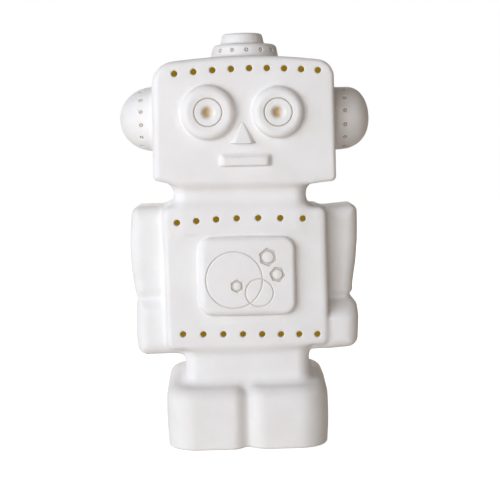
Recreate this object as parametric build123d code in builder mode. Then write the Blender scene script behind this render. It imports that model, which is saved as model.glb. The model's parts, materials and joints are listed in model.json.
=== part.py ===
"""Robot-shaped table lamp: a hollow slip-cast porcelain figure over a spring-held light unit.

The figure is cast in sections, which are luted together and fired as one, and pierced with rows of holes
that the light shines through. It stands on four felt pads. The light unit is pushed up into a round hole
in its base and held there by two spring leaves: a moulded cover with a cable inlet, a small-screw (E14)
lampholder on a threaded tube, and a candle bulb.

Frame: +Z up, the robot's face towards -Y, the origin on the table under the middle of the figure.
Sizes are in millimetres.
"""

from build123d import *

import os
from math import asin, cos, pi, sin, sqrt

# ------------------------------------------------------------------ porcelain figure: overall
WALL = 4.2  # slip-cast wall, the same everywhere
PAD_THICK = 1.5

# feet
FEET_WIDTH, FEET_FRONT, FEET_BACK = 112.6, -48.0, 48.0  # front and back are places along Y
FEET_TOP = 43.5
FEET_MIDDLE_DROP = 2.3  # how much lower the clay between the feet is
FOOT_CORNER = 15.0  # upright corners; two of them meet as the cleft between the feet
FOOT_RIM = 9.0
CLEFT_DEPTH = 13.0

# torso and arms
WAIST_GAP, TORSO_HEIGHT = 24.0, 99.5
TORSO_WIDTH, TORSO_FRONT, TORSO_BACK = 108.0, -34.0, 41.0
TORSO_BOTTOM = FEET_TOP + WAIST_GAP
TORSO_TOP = TORSO_BOTTOM + TORSO_HEIGHT
TORSO_CORNER, TORSO_RIM = 6.0, 6.0
ARM_OUT = 24.4  # how far an arm stands out from the torso's side
ARM_LAP = 14.0  # how far it runs into the torso
FOREARM_DROP, HAND_DROP, HAND_LENGTH = 1.0, 3.5, 37.0
ARM_REACH, ARM_ROOT = TORSO_WIDTH / 2 + ARM_OUT, TORSO_WIDTH / 2 - ARM_LAP
FOREARM_TOP, HAND_BOTTOM = TORSO_TOP - FOREARM_DROP, TORSO_BOTTOM - HAND_DROP
WRIST = HAND_BOTTOM + HAND_LENGTH
WRIST_LAP = 3.0
FOREARM_FRONT, FOREARM_BACK = -18.0, 28.0
HAND_FRONT, HAND_BACK = -19.5, 29.5
ARM_CORNER, ARM_RIM = 7.0, 6.0

# neck and waist
NECK_WIDTH, NECK_FRONT, NECK_BACK = 92.0, -24.0, 34.0
WAIST_WIDTH, WAIST_FRONT, WAIST_BACK = 88.0, -23.0, 36.5
COLUMN_CORNER = 9.0  # their upright corners
COLUMN_RUN = 8.0  # how far the neck and waist run on inside what they join

# head
NECK_GAP, HEAD_HEIGHT = 13.5, 82.8
HEAD_WIDTH, HEAD_TOP_WIDTH = 122.4, 120.6
HEAD_FRONT, HEAD_BACK = -36.0, 42.0
HEAD_BOTTOM = TORSO_TOP + NECK_GAP
HEAD_CROWN = HEAD_BOTTOM + HEAD_HEIGHT
HEAD_CROWN_DROP = 9.3  # how far the crowned top falls to its corners
HEAD_TOP_CORNER, HEAD_BOTTOM_CORNER, HEAD_RIM = 19.0, 5.0, 6.5

# ears: a collar and a dome on each side of the head
EAR_AXIS_Y, EAR_RISE = 3.0, 41.5  # the axis, and its height over the underside of the head
EAR_RADIUS, EAR_COLLAR, EAR_DOME = 21.0, 7.8, 17.0
EAR_LAP = 21.2  # how far an ear runs into the head
EAR_MARKS = 10
EAR_MARK_INSET = 3.0  # from the end of the collar
EAR_AXIS_Z = HEAD_BOTTOM + EAR_RISE
EAR_COLLAR_END = HEAD_WIDTH / 2 + EAR_COLLAR
EAR_TIP = EAR_COLLAR_END + EAR_DOME
EAR_ROOT = HEAD_WIDTH / 2 - EAR_LAP
SEAM_OUT = 0.4  # ears and arms are luted on this far outside the flat of the side

# knob on the crown: a drafted ring with a smaller cap on it
KNOB_AXIS_Y = 3.0
KNOB_RING_RADIUS, KNOB_RING_TOP_RADIUS, KNOB_RING_HEIGHT = 23.0, 21.6, 10.3
KNOB_CAP_RADIUS, KNOB_CAP_TOP_RADIUS, KNOB_CAP_HEIGHT = 15.4, 13.8, 6.4
KNOB_EDGE = 2.0
KNOB_MARKS = 12
KNOB_MARK_DROP = 4.6  # below the top of the ring
KNOB_RING_TOP = HEAD_CROWN + KNOB_RING_HEIGHT
FIGURE_HEIGHT = KNOB_RING_TOP + KNOB_CAP_HEIGHT

# face: heights are over the underside of the head
EYE_X, EYE_RISE = 23.2, 45.5
EYE_RADIUS, EYE_STAND, EYE_ROUND = 18.4, 6.5, 5.0
EYE_LINE_RADIUS = 9.55
PUPIL_RADIUS, PUPIL_END_RADIUS = 4.2, 1.9
PUPIL_SKIN = 1.1  # the pupil is sunk until this much porcelain is left
NOSE_RISE, NOSE_HEIGHT, NOSE_HALF_WIDTH, NOSE_STAND, NOSE_DRAFT = 24.9, 14.6, 7.9, 4.5, 20.0
MOUTH_WIDTH, MOUTH_HEIGHT, MOUTH_RISE, MOUTH_STAND, MOUTH_DRAFT = 35.6, 10.3, 14.0, 3.5, 30.0
EYE_Z = HEAD_BOTTOM + EYE_RISE
NOSE_BOTTOM, MOUTH_Z = HEAD_BOTTOM + NOSE_RISE, HEAD_BOTTOM + MOUTH_RISE

# chest panel, with lines and nut prints pressed into it; their places are (x, z) from its middle
PANEL_WIDTH, PANEL_HEIGHT, PANEL_DROP, PANEL_STAND = 67.2, 53.0, 0.25, 5.0
PANEL_CORNER, PANEL_ROUND = 9.0, 3.0
PANEL_Z = (TORSO_BOTTOM + TORSO_TOP) / 2 - PANEL_DROP
LINE_WIDTH, LINE_DEPTH = 0.9, 0.6
#        centre,         radius
DIALS = [((-8.6, -2.4), 18.8), ((8.2, -11.3), 9.1)]
#             centre,       radius, turn
NUT_PRINTS = [((14.3, 12.6), 6.4, 8.0), ((20.5, 0.9), 5.4, 20.0), ((-6.7, -6.5), 4.7, 0.0)]
NUT_PRINT_DEPTH = 1.1
NUT_HOLE_SHARE = 0.62  # the raised middle of a print, as a share of the nut's radius

# pierced rows and punched marks; the margins are from the sides of the block they are in
PIERCE_RADIUS = 2.0
HEAD_ROW_MARGINS, HEAD_ROW_DROP = (16.0, 11.3), 8.3
CHEST_ROW_MARGINS, CHEST_ROW_DROP = (8.0, 15.6), 11.4
BELLY_ROW_MARGINS, BELLY_ROW_RISE = (10.2, 7.0), 9.4
#           count, width, margins, height, bow, slope, drift
HEAD_ROW = (9, HEAD_WIDTH, HEAD_ROW_MARGINS, HEAD_CROWN - HEAD_ROW_DROP, 2.4, 0.5, 2.1)
CHEST_ROW = (7, TORSO_WIDTH, CHEST_ROW_MARGINS, TORSO_TOP - CHEST_ROW_DROP, 1.6, 1.1, -2.1)
BELLY_ROW = (8, TORSO_WIDTH, BELLY_ROW_MARGINS, TORSO_BOTTOM + BELLY_ROW_RISE, 0.0, -2.0, 1.6)
MARK_RADIUS, MARK_DEPTH = 1.5, 0.8

# ------------------------------------------------------------------ base of the figure
LIGHT_Y = (FEET_FRONT + CLEFT_DEPTH + FEET_BACK) / 2  # the light unit's axis, midway from cleft to back
RECESS_LAP = 1.2  # how far the recess's wall runs into the front and back walls
RECESS_RADIUS = (FEET_BACK - FEET_FRONT - CLEFT_DEPTH) / 2 - 2 * WALL + RECESS_LAP
BASE_UNDERSIDE = 14.0  # the base plate's lower face, inside the recess
BASE_THICK = 5.0
NOTCH_ROOM, NOTCH_HEADROOM = 1.3, 0.8  # the cable's arched way out, beside and over its bush
PAD_RADIUS = 5.5
PAD_SIDE, PAD_FRONT, PAD_REAR = 14.3, 17.0, 12.0  # pad centres from the sides, front and back of the feet
PAD_X, PAD_FRONT_Y, PAD_BACK_Y = FEET_WIDTH / 2 - PAD_SIDE, FEET_FRONT + PAD_FRONT, FEET_BACK - PAD_REAR

# ------------------------------------------------------------------ light unit: cover
FIT_GAP = 0.05  # radial gap of a shaft, screw or tube in its hole
UNIT_BOTTOM = 1.0  # the lid's height above the table
COVER_GAP = 1.0  # cover to the recess
COVER_WALL = 2.0
COVER_EDGE = 0.8
LID_THICK, LID_GAP = 2.0, 0.25
LID_VENTS, LID_VENT_RADIUS, LID_VENT_CIRCLE = 8, 1.6, 13.0
BOSS_RADIUS, BOSS_X = 3.4, 21.0
LID_SCREW_RADIUS, LID_SCREW_LENGTH = 1.45, 7.5
LID_SCREW_HEAD_RADIUS, LID_SCREW_HEAD = 2.8, 1.2
DRIVE_WIDTH, DRIVE_DEPTH, DRIVE_LENGTH = 0.6, 0.6, 3.0  # the screws' cross recess

# cable inlet
CABLE_RADIUS = 2.6
BUSH_WALL, BUSH_LIP, BUSH_BARB_LIP = 1.2, 1.4, 0.5
BUSH_FLANGE, BUSH_BARB = 2.0, 1.6
BUSH_NECK_RADIUS = CABLE_RADIUS + BUSH_WALL
BUSH_FLANGE_RADIUS, BUSH_BARB_RADIUS = BUSH_NECK_RADIUS + BUSH_LIP, BUSH_NECK_RADIUS + BUSH_BARB_LIP

# ------------------------------------------------------------------ light unit: lampholder stack
TUBE_RADIUS, TUBE_WALL = 5.0, 1.3  # M10 x 1 hollow tube
TUBE_BELOW_NUT = 1.5
TUBE_ENGAGED = 9.0  # tube inside the lampholder's cap
NUT_WALL, NUT_THICK = 2.0, 2.6
WASHER_WALL, WASHER_THICK = 4.0, 1.0
WASHER_TEETH, TOOTH_GAP = 12, 1.6

LEAF_WIDTH, LEAF_THICK = 10.0, 0.6
LEAF_ROOT_IN, LEAF_BOW_IN, LEAF_TIP_IN = 5.6, 1.2, 6.4  # inside the edge of the hole the leaves grip
LEAF_BOW_RISE, LEAF_TIP_RISE = 8.5, 25.0  # above the cover
LEAF_BEND = 1.5

HOLDER_SIDE, HOLDER_WALL = 4.0, 1.9  # from the screw shell's flange to the outside
HOLDER_FOOT_WALL, HOLDER_FOOT_HEIGHT, HOLDER_CONE_HEIGHT = 3.5, 3.6, 5.0
HOLDER_CAP_HEIGHT = 22.0
HOLDER_ROOM = 9.0  # round the holder in the hole of the base, for the leaves
WIRE_SPACE_LEDGE, WIRE_SPACE_HEIGHT = 1.5, 3.0  # room under the contact block
LOCK_SCREW_RADIUS, LOCK_SCREW_LENGTH, LOCK_SCREW_RISE = 1.25, 4.0, 2.0

SLEEVE_RISE = 21.0  # sleeve above the cap's top edge
SLEEVE_LAP, SLEEVE_LAP_WALL = 3.5, 0.9
SLEEVE_COLLAR_ROOM, SLEEVE_COLLAR_HEIGHT, SLEEVE_TAPER = 0.4, 4.5, 2.0
SLEEVE_GROOVES, GROOVE_WIDTH, GROOVE_LENGTH = 18, 1.2, 12.0

BLOCK_GAP = 0.2
BLOCK_THICK = 8.0
SHELL_ROOM, SHELL_WALL, SHELL_LENGTH, SHELL_FLANGE = 0.1, 0.5, 17.5, 2.45  # E14
CONTACT_WIDTH, CONTACT_THICK, CONTACT_RISE = 4.0, 0.4, 3.0
CONTACT_ROOM, CONTACT_FOOT, CONTACT_KNEE = 0.45, 1.4, 1.6  # to the shell, to the rivet, rivet to knee
CONTACT_TOP_X, CONTACT_END_X = 1.6, -2.2
TERMINAL_IN, TERMINAL_LENGTH, TERMINAL_WIDTH, TERMINAL_HEIGHT = 0.2, 6.0, 5.0, 5.0
TERMINAL_SCREW_OUT, TERMINAL_SCREW_RADIUS, TERMINAL_SCREW_LENGTH = 0.8, 1.2, 3.6
TERMINAL_SCREW_HEAD_RADIUS, TERMINAL_SCREW_HEAD = 1.9, 1.4
RIVET_RADIUS, RIVET_HEAD_RADIUS, RIVET_HEAD, RIVET_ROOM = 0.8, 1.25, 0.5, 0.1

# ------------------------------------------------------------------ bulb (C35 candle, E14 cap)
BULB_LENGTH, BULB_RADIUS = 98.0, 17.5
GLASS_WALL = 0.8
GLASS_NECK_GAP = 0.05
#               share of the glass's height, share of the bulb's radius
CANDLE_SHAPE = ((0.15, 0.77), (0.37, 1.0), (0.66, 0.80), (0.91, 0.37))
CAP_LENGTH = 24.0
CAP_ROOT_RADIUS, CAP_THREAD_DEPTH, CAP_WALL = 6.3, 0.65, 0.35
CAP_THREADS, THREAD_PITCH, CAP_THREAD_START = 5, 2.822, 4.6
CAP_SKIRT_FLARE, CAP_SKIRT_HEIGHT = 2.0, 1.8
TIP_RADIUS, TIP_HEIGHT = 2.4, 1.3
INSULATOR_HEIGHT, INSULATOR_EDGE = 2.6, 0.1
STEM_FOOT_GAP, STEM_FOOT_THICK, STEM_RADIUS, STEM_HEIGHT = 0.1, 0.9, 3.2, 21.0
FILAMENTS, FILAMENT_RADIUS, FILAMENT_RISE = 4, 0.9, 30.0
FILAMENT_LOW_CIRCLE, FILAMENT_HIGH_CIRCLE = 6.5, 3.4
WIRE_RADIUS = 0.35
WIRE_GAP = 0.2
BOARD_GAP, BOARD_HEIGHT, BOARD_THICK = 0.4, 9.5, 1.2

# ------------------------------------------------------------------ radii worked out from the above
CAP_CREST_RADIUS, CAP_SKIRT_RADIUS = CAP_ROOT_RADIUS + CAP_THREAD_DEPTH, CAP_ROOT_RADIUS + CAP_SKIRT_FLARE
SHELL_BORE_RADIUS = CAP_CREST_RADIUS + SHELL_ROOM
SHELL_OUTER_RADIUS = SHELL_BORE_RADIUS + SHELL_WALL
SHELL_FLANGE_RADIUS = SHELL_OUTER_RADIUS + SHELL_FLANGE
SHELL_RIVET_X = -(SHELL_OUTER_RADIUS + RIVET_ROOM + RIVET_HEAD_RADIUS)
CONTACT_FOOT_X = SHELL_BORE_RADIUS - CONTACT_ROOM
CONTACT_RIVET_X = CONTACT_FOOT_X - CONTACT_FOOT
CONTACT_KNEE_X = CONTACT_RIVET_X - CONTACT_KNEE
HOLDER_RADIUS = SHELL_FLANGE_RADIUS + HOLDER_SIDE
HOLDER_FOOT_RADIUS = TUBE_RADIUS + HOLDER_FOOT_WALL
HOLDER_INNER_RADIUS = HOLDER_RADIUS - HOLDER_WALL
LIGHT_HOLE_RADIUS = HOLDER_RADIUS + HOLDER_ROOM
LEAF_ROOT_X, LEAF_BOW_X = LIGHT_HOLE_RADIUS - LEAF_ROOT_IN, LIGHT_HOLE_RADIUS - LEAF_BOW_IN
LEAF_TIP_X = LIGHT_HOLE_RADIUS - LEAF_TIP_IN
COVER_RADIUS = RECESS_RADIUS - COVER_GAP
TUBE_HOLE_RADIUS = TUBE_RADIUS + FIT_GAP
BLOCK_RADIUS = HOLDER_INNER_RADIUS - BLOCK_GAP
TERMINAL_X = SHELL_FLANGE_RADIUS - TERMINAL_IN - TERMINAL_LENGTH / 2
TERMINAL_SCREW_X = TERMINAL_X + TERMINAL_SCREW_OUT
GLASS_NECK_RADIUS = CAP_SKIRT_RADIUS - CAP_WALL - GLASS_NECK_GAP
STEM_FOOT_RADIUS = GLASS_NECK_RADIUS - GLASS_WALL - STEM_FOOT_GAP

# ------------------------------------------------------------------ heights worked out from the above
COVER_TOP = BASE_UNDERSIDE
COVER_INSIDE_TOP = COVER_TOP - COVER_WALL
LID_TOP = UNIT_BOTTOM + LID_THICK
INLET_Z = (LID_TOP + COVER_INSIDE_TOP) / 2
NOTCH_WIDTH = 2 * (BUSH_FLANGE_RADIUS + NOTCH_ROOM)
NOTCH_TOP = INLET_Z + BUSH_FLANGE_RADIUS + NOTCH_HEADROOM
NUT_TOP = COVER_INSIDE_TOP - WASHER_THICK
HOLDER_BOTTOM = COVER_TOP + LEAF_THICK
HOLDER_JOINT = HOLDER_BOTTOM + HOLDER_CAP_HEIGHT
BLOCK_TOP = HOLDER_JOINT - SLEEVE_LAP
BLOCK_BOTTOM = BLOCK_TOP - BLOCK_THICK
SLEEVE_TOP = HOLDER_JOINT + SLEEVE_RISE
BULB_BOTTOM = BLOCK_TOP + CONTACT_RISE
BULB_TOP = BULB_BOTTOM + BULB_LENGTH
CAP_TOP = BULB_BOTTOM + CAP_LENGTH
CAP_BOTTOM = BULB_BOTTOM + TIP_HEIGHT + INSULATOR_HEIGHT
GLASS_BOTTOM = CAP_TOP - CAP_SKIRT_HEIGHT + CAP_WALL
STEM_TOP = GLASS_BOTTOM + STEM_HEIGHT

ON_FLOOR = (Align.CENTER, Align.CENTER, Align.MIN)  # a solid that stands on its location
LIGHT_AXIS = Axis((0, LIGHT_Y, 0), (0, 0, 1))


# ------------------------------------------------------------------ blocks of the figure
def cast_block(width, front, back, bottom, top, corner, rim, centre_x=0.0, inset=0.0):
    """Soft-edged block seen from the front. inset gives the hollow inside it, one wall smaller all round."""
    with BuildPart() as block:
        with BuildSketch(Plane.XZ.offset(inset - back)):
            with Locations((centre_x, (bottom + top) / 2)):
                RectangleRounded(width - 2 * inset, top - bottom - 2 * inset, max(corner - inset, 0.8))
        extrude(amount=back - front - 2 * inset)
        ends = block.edges().group_by(Axis.Y)
        fillet(ends[0] + ends[-1], max(rim - inset, 0.6))
    return block.part


def column(width, front, back, bottom, top, inset=0.0):
    """Upright block with rounded upright corners, such as the neck."""
    with BuildPart() as block:
        with BuildSketch(Plane.XY.offset(bottom)):
            with Locations((0, (front + back) / 2)):
                RectangleRounded(width - 2 * inset, back - front - 2 * inset, COLUMN_CORNER - inset)
        extrude(amount=top - bottom)
    return block.part


def head_block(inset=0.0):
    """The head: straight sides, a crowned top, large top corners and small bottom ones."""
    half, half_top = HEAD_WIDTH / 2 - inset, HEAD_TOP_WIDTH / 2 - inset
    bottom, crown = HEAD_BOTTOM + inset, HEAD_CROWN - inset
    shoulder = crown - HEAD_CROWN_DROP
    with BuildPart() as block:
        with BuildSketch(Plane.XZ.offset(inset - HEAD_BACK)) as outline:
            with BuildLine():
                Polyline((-half_top, shoulder), (-half, bottom), (half, bottom), (half_top, shoulder))
                ThreePointArc((half_top, shoulder), (0, crown), (-half_top, shoulder))
            make_face()
            fillet(outline.vertices().group_by(Axis.Y)[-1], HEAD_TOP_CORNER - inset)
            fillet(outline.vertices().group_by(Axis.Y)[0], max(HEAD_BOTTOM_CORNER - inset, 0.8))
        extrude(amount=HEAD_BACK - HEAD_FRONT - 2 * inset)
        ends = block.edges().group_by(Axis.Y)
        fillet(ends[0] + ends[-1], max(HEAD_RIM - inset, 0.6))
    return block.part


def ear(inset=0.0):
    """Collar and part-sphere dome on the +X side of the head."""
    radius, tip = EAR_RADIUS - inset, EAR_TIP - inset
    rise = tip - EAR_COLLAR_END
    ball = (radius**2 + rise**2) / (2 * rise)
    half_angle = asin(radius / ball) / 2
    on_dome = (tip - ball + ball * cos(half_angle), EAR_AXIS_Z + ball * sin(half_angle))
    with BuildPart() as dome:
        with BuildSketch(Plane.XZ.offset(-EAR_AXIS_Y)):
            with BuildLine():
                collar_end = (EAR_COLLAR_END, EAR_AXIS_Z + radius)
                Polyline((tip, EAR_AXIS_Z), (EAR_ROOT, EAR_AXIS_Z), (EAR_ROOT, collar_end[1]), collar_end)
                ThreePointArc(collar_end, on_dome, (tip, EAR_AXIS_Z))
            make_face()
        revolve(axis=Axis((0, EAR_AXIS_Y, EAR_AXIS_Z), (1, 0, 0)))
    return dome.part


def knob(inset=0.0):
    """Drafted ring and cap on the crown."""
    root = HEAD_CROWN - 2 * WALL
    ring, ring_top = KNOB_RING_RADIUS - inset, KNOB_RING_TOP_RADIUS - inset
    cap, cap_top = KNOB_CAP_RADIUS - inset, KNOB_CAP_TOP_RADIUS - inset
    ring_z, top_z = KNOB_RING_TOP - inset, FIGURE_HEIGHT - inset
    corners = [(0, root), (ring, root), (ring_top, ring_z), (cap, ring_z), (cap_top, top_z), (0, top_z)]
    with BuildPart() as turned:
        with BuildSketch(Plane.XZ.offset(-KNOB_AXIS_Y)):
            with BuildLine():
                Polyline(*corners, close=True)
            make_face()
        revolve(axis=Axis((0, KNOB_AXIS_Y, 0), (0, 0, 1)))
        rims = turned.edges().filter_by(GeomType.CIRCLE)
        fillet(rims.filter_by(lambda rim: abs(rim.radius - cap_top) < 0.01), KNOB_EDGE)
        rims = turned.edges().filter_by(GeomType.CIRCLE)
        fillet(rims.filter_by(lambda rim: abs(rim.radius - ring_top) < 0.01), KNOB_EDGE)
    return turned.part


def foot(inset=0.0):
    """The +X foot: an upright block with round corners and a round top edge."""
    half = FEET_WIDTH / 2
    base = PAD_THICK + inset
    with BuildPart() as block:
        with BuildSketch(Plane.XY.offset(base)):
            with Locations((half / 2, (FEET_FRONT + FEET_BACK) / 2)):
                RectangleRounded(half - 2 * inset, FEET_BACK - FEET_FRONT - 2 * inset, FOOT_CORNER - inset)
        extrude(amount=FEET_TOP - inset - base)
        fillet(block.edges().group_by(Axis.Z)[-1], FOOT_RIM - inset)
    return block.part


def feet_middle(inset=0.0):
    """Fills the plan between the feet behind the cleft, up to the back."""
    front, back = FEET_FRONT + CLEFT_DEPTH + inset, FEET_BACK - inset
    base = PAD_THICK + inset
    with BuildPart() as block:
        with BuildSketch(Plane.XY.offset(base)):
            with Locations((0, (front + back) / 2)):
                Rectangle(FEET_WIDTH / 2, back - front)
        extrude(amount=FEET_TOP - FEET_MIDDLE_DROP - inset - base)
        fillet(block.edges().group_by(Axis.Z)[-1].filter_by(Axis.X), FOOT_RIM - inset)
    return block.part


def arm(inset=0.0):
    """The +X forearm and hand, with the shallow wrist between them; both start inside the torso."""
    width, centre_x = ARM_REACH - ARM_ROOT, (ARM_REACH + ARM_ROOT) / 2
    edges = (ARM_CORNER, ARM_RIM, centre_x, inset)
    forearm = cast_block(width, FOREARM_FRONT, FOREARM_BACK, WRIST - WRIST_LAP, FOREARM_TOP, *edges)
    hand = cast_block(width, HAND_FRONT, HAND_BACK, HAND_BOTTOM, WRIST + WRIST_LAP, *edges)
    return [forearm, hand]


def eye_boss(inset=0.0):
    """Round cushion that stands out of the face around the +X pupil."""
    root = HEAD_FRONT + 2 * WALL
    with BuildPart() as boss:
        with BuildSketch(Plane.XZ.offset(-root)):
            with Locations((EYE_X, EYE_Z)):
                Circle(EYE_RADIUS - inset)
        extrude(amount=root - (HEAD_FRONT - EYE_STAND) - inset)
        rims = boss.edges().filter_by(GeomType.CIRCLE).group_by(Axis.Y)
        fillet(rims[0], max(EYE_ROUND - inset, 1.0))
    return boss.part


def figure_blocks(inset=0.0):
    """Every block of the figure, or with inset, of the hollow inside it."""
    neck_bottom, neck_top = TORSO_TOP - COLUMN_RUN - inset, HEAD_BOTTOM + COLUMN_RUN + inset
    waist_bottom, waist_top = FEET_TOP - COLUMN_RUN - inset, TORSO_BOTTOM + COLUMN_RUN + inset
    torso_edges = (TORSO_CORNER, TORSO_RIM, 0.0, inset)
    middle = [
        head_block(inset),
        knob(inset),
        column(NECK_WIDTH, NECK_FRONT, NECK_BACK, neck_bottom, neck_top, inset),
        cast_block(TORSO_WIDTH, TORSO_FRONT, TORSO_BACK, TORSO_BOTTOM, TORSO_TOP, *torso_edges),
        column(WAIST_WIDTH, WAIST_FRONT, WAIST_BACK, waist_bottom, waist_top, inset),
        feet_middle(inset),
    ]
    right = [ear(inset), foot(inset), eye_boss(inset), *arm(inset)]
    return middle + right + [mirror(block, about=Plane.YZ) for block in right]


def row_points(row):
    """Centres (x, z) of one pierced row: between its end holes, bowed, sloped and unevenly spaced."""
    count, width, margins, height, bow, slope, drift = row
    first, last = margins[0] - width / 2, width / 2 - margins[1]
    points = []
    for i in range(count):
        along = i / (count - 1)
        hump = sin(pi * along)
        x = first + (last - first) * along + drift * hump
        points.append((x, height + bow * (hump - 1) + slope * (along - 0.5)))
    return points


def mark_planes(centre, axis, radius, count, phase):
    """Planes on the floors of the marks punched in a ring round axis, facing outwards."""
    across = Vector(0, 1, 0) if axis.X else Vector(1, 0, 0)
    up = axis.cross(across)
    planes = []
    for i in range(count):
        angle = 2 * pi * (i + phase) / count
        out = across * cos(angle) + up * sin(angle)
        planes.append(Plane(origin=centre + out * (radius - MARK_DEPTH), x_dir=axis, z_dir=out))
    return planes


# ------------------------------------------------------------------ porcelain figure
eye_front = HEAD_FRONT - EYE_STAND
panel_front = TORSO_FRONT - PANEL_STAND

with BuildPart() as hollow:
    add(figure_blocks(WALL))

ear_marks = []
for side in (-1, 1):
    ear_centre = Vector(side * (EAR_COLLAR_END - EAR_MARK_INSET), EAR_AXIS_Y, EAR_AXIS_Z)
    ear_marks += mark_planes(ear_centre, Vector(1, 0, 0), EAR_RADIUS, EAR_MARKS, 0.5)
knob_mark_share = KNOB_MARK_DROP / (KNOB_RING_TOP - HEAD_CROWN + 2 * WALL)
knob_mark_radius = KNOB_RING_TOP_RADIUS + (KNOB_RING_RADIUS - KNOB_RING_TOP_RADIUS) * knob_mark_share
knob_centre = Vector(0, KNOB_AXIS_Y, KNOB_RING_TOP - KNOB_MARK_DROP)
knob_marks = mark_planes(knob_centre, Vector(0, 0, 1), knob_mark_radius, KNOB_MARKS, 0.25)

with BuildPart() as casting:
    add(figure_blocks())

    # nose: a drafted triangle on the face
    with BuildSketch(Plane.XZ.offset(-HEAD_FRONT)):
        with BuildLine():
            nose_feet = [(-NOSE_HALF_WIDTH, NOSE_BOTTOM), (NOSE_HALF_WIDTH, NOSE_BOTTOM)]
            Polyline(*nose_feet, (0, NOSE_BOTTOM + NOSE_HEIGHT), close=True)
        make_face()
    extrude(amount=NOSE_STAND, taper=NOSE_DRAFT)

    # mouth: a bevelled bar on the face
    with BuildSketch(Plane.XZ.offset(-HEAD_FRONT)):
        with Locations((0, MOUTH_Z)):
            Rectangle(MOUTH_WIDTH, MOUTH_HEIGHT)
    extrude(amount=MOUTH_STAND, taper=MOUTH_DRAFT)

    # chest panel: a raised pillow
    with BuildSketch(Plane.XZ.offset(-TORSO_FRONT)):
        with Locations((0, PANEL_Z)):
            RectangleRounded(PANEL_WIDTH, PANEL_HEIGHT, PANEL_CORNER)
    extrude(amount=PANEL_STAND)
    panel_rim = casting.edges().filter_by(lambda edge: abs(edge.center().Y - panel_front) < 0.01)
    fillet(panel_rim, PANEL_ROUND)

    # the hollow inside, then the base plate and the recess that take the light unit
    add(hollow.part, mode=Mode.SUBTRACT)
    with Locations((0, LIGHT_Y, PAD_THICK)):
        Cylinder(RECESS_RADIUS + WALL, BASE_UNDERSIDE + BASE_THICK - PAD_THICK, align=ON_FLOOR)
    with Locations((0, LIGHT_Y, 0)):
        Cylinder(RECESS_RADIUS, BASE_UNDERSIDE, align=ON_FLOOR, mode=Mode.SUBTRACT)
        Cylinder(LIGHT_HOLE_RADIUS, BASE_UNDERSIDE + BASE_THICK + 1, align=ON_FLOOR, mode=Mode.SUBTRACT)

    # arched notch under the back edge, where the cable leaves
    arch_height = NOTCH_TOP - NOTCH_WIDTH / 2
    with BuildSketch(Plane.XZ.offset(-FEET_BACK - 1)):
        with Locations((0, arch_height / 2)):
            Rectangle(NOTCH_WIDTH, arch_height)
        with Locations((0, arch_height)):
            Circle(NOTCH_WIDTH / 2)
    extrude(amount=FEET_BACK + 1 - LIGHT_Y - RECESS_RADIUS / 2, mode=Mode.SUBTRACT)

    # pupils: sunk cones that leave a thin skin for the light to glow through
    pupil_places = [(-EYE_X, eye_front, EYE_Z), (EYE_X, eye_front, EYE_Z)]
    with Locations(*[Plane(origin=place, x_dir=(1, 0, 0), z_dir=(0, 1, 0)) for place in pupil_places]):
        Cone(PUPIL_RADIUS, PUPIL_END_RADIUS, WALL - PUPIL_SKIN, align=ON_FLOOR, mode=Mode.SUBTRACT)

    # pressed lines: one round each pupil, then the dials on the panel
    with BuildSketch(Plane.XZ.offset(-eye_front)):
        with Locations((-EYE_X, EYE_Z), (EYE_X, EYE_Z)):
            Circle(EYE_LINE_RADIUS + LINE_WIDTH / 2)
            Circle(EYE_LINE_RADIUS - LINE_WIDTH / 2, mode=Mode.SUBTRACT)
    extrude(amount=-LINE_DEPTH, mode=Mode.SUBTRACT)
    for (x, z), radius in DIALS:
        with BuildSketch(Plane.XZ.offset(-panel_front)):
            with Locations((x, PANEL_Z + z)):
                Circle(radius + LINE_WIDTH / 2)
                Circle(radius - LINE_WIDTH / 2, mode=Mode.SUBTRACT)
        extrude(amount=-LINE_DEPTH, mode=Mode.SUBTRACT)

    # nut prints: a hexagon pressed in around a raised middle
    with BuildSketch(Plane.XZ.offset(-panel_front)):
        for (x, z), radius, rotation in NUT_PRINTS:
            with Locations((x, PANEL_Z + z)):
                RegularPolygon(radius, 6, rotation=rotation)
                Circle(radius * NUT_HOLE_SHARE, mode=Mode.SUBTRACT)
    extrude(amount=-NUT_PRINT_DEPTH, mode=Mode.SUBTRACT)

    # pierced rows, right through the front wall
    for row, face_y in ((HEAD_ROW, HEAD_FRONT), (CHEST_ROW, TORSO_FRONT), (BELLY_ROW, TORSO_FRONT)):
        with BuildSketch(Plane.XZ.offset(1 - face_y)):
            with Locations(*row_points(row)):
                Circle(PIERCE_RADIUS)
        extrude(amount=-2 * WALL, mode=Mode.SUBTRACT)

    # punched rings of marks round the ear collars and the knob's ring
    with Locations(*ear_marks, *knob_marks):
        Cylinder(MARK_RADIUS, 2 * MARK_DEPTH, align=ON_FLOOR, mode=Mode.SUBTRACT)

# its sections, cast one by one and luted: at the waist, the neck and over the ears, along the middle of
# the sides of head and torso, and where ears and arms sit on them
above_waist = (Plane.XY.offset((FEET_TOP + TORSO_BOTTOM) / 2), Keep.TOP)
above_neck = (Plane.XY.offset((TORSO_TOP + HEAD_BOTTOM) / 2), Keep.TOP)
above_ears = (Plane.XY.offset(EAR_AXIS_Z + EAR_RADIUS), Keep.TOP)
in_front = (Plane.XZ.offset(-EAR_AXIS_Y), Keep.TOP)
right_of_head = (Plane.YZ.offset(HEAD_WIDTH / 2 + SEAM_OUT), Keep.TOP)
left_of_head = (Plane.YZ.offset(-HEAD_WIDTH / 2 - SEAM_OUT), Keep.BOTTOM)
right_of_torso = (Plane.YZ.offset(TORSO_WIDTH / 2 + SEAM_OUT), Keep.TOP)
left_of_torso = (Plane.YZ.offset(-TORSO_WIDTH / 2 - SEAM_OUT), Keep.BOTTOM)


def other_side(cut):
    plane, side = cut
    return plane, Keep.BOTTOM if side == Keep.TOP else Keep.TOP


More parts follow.
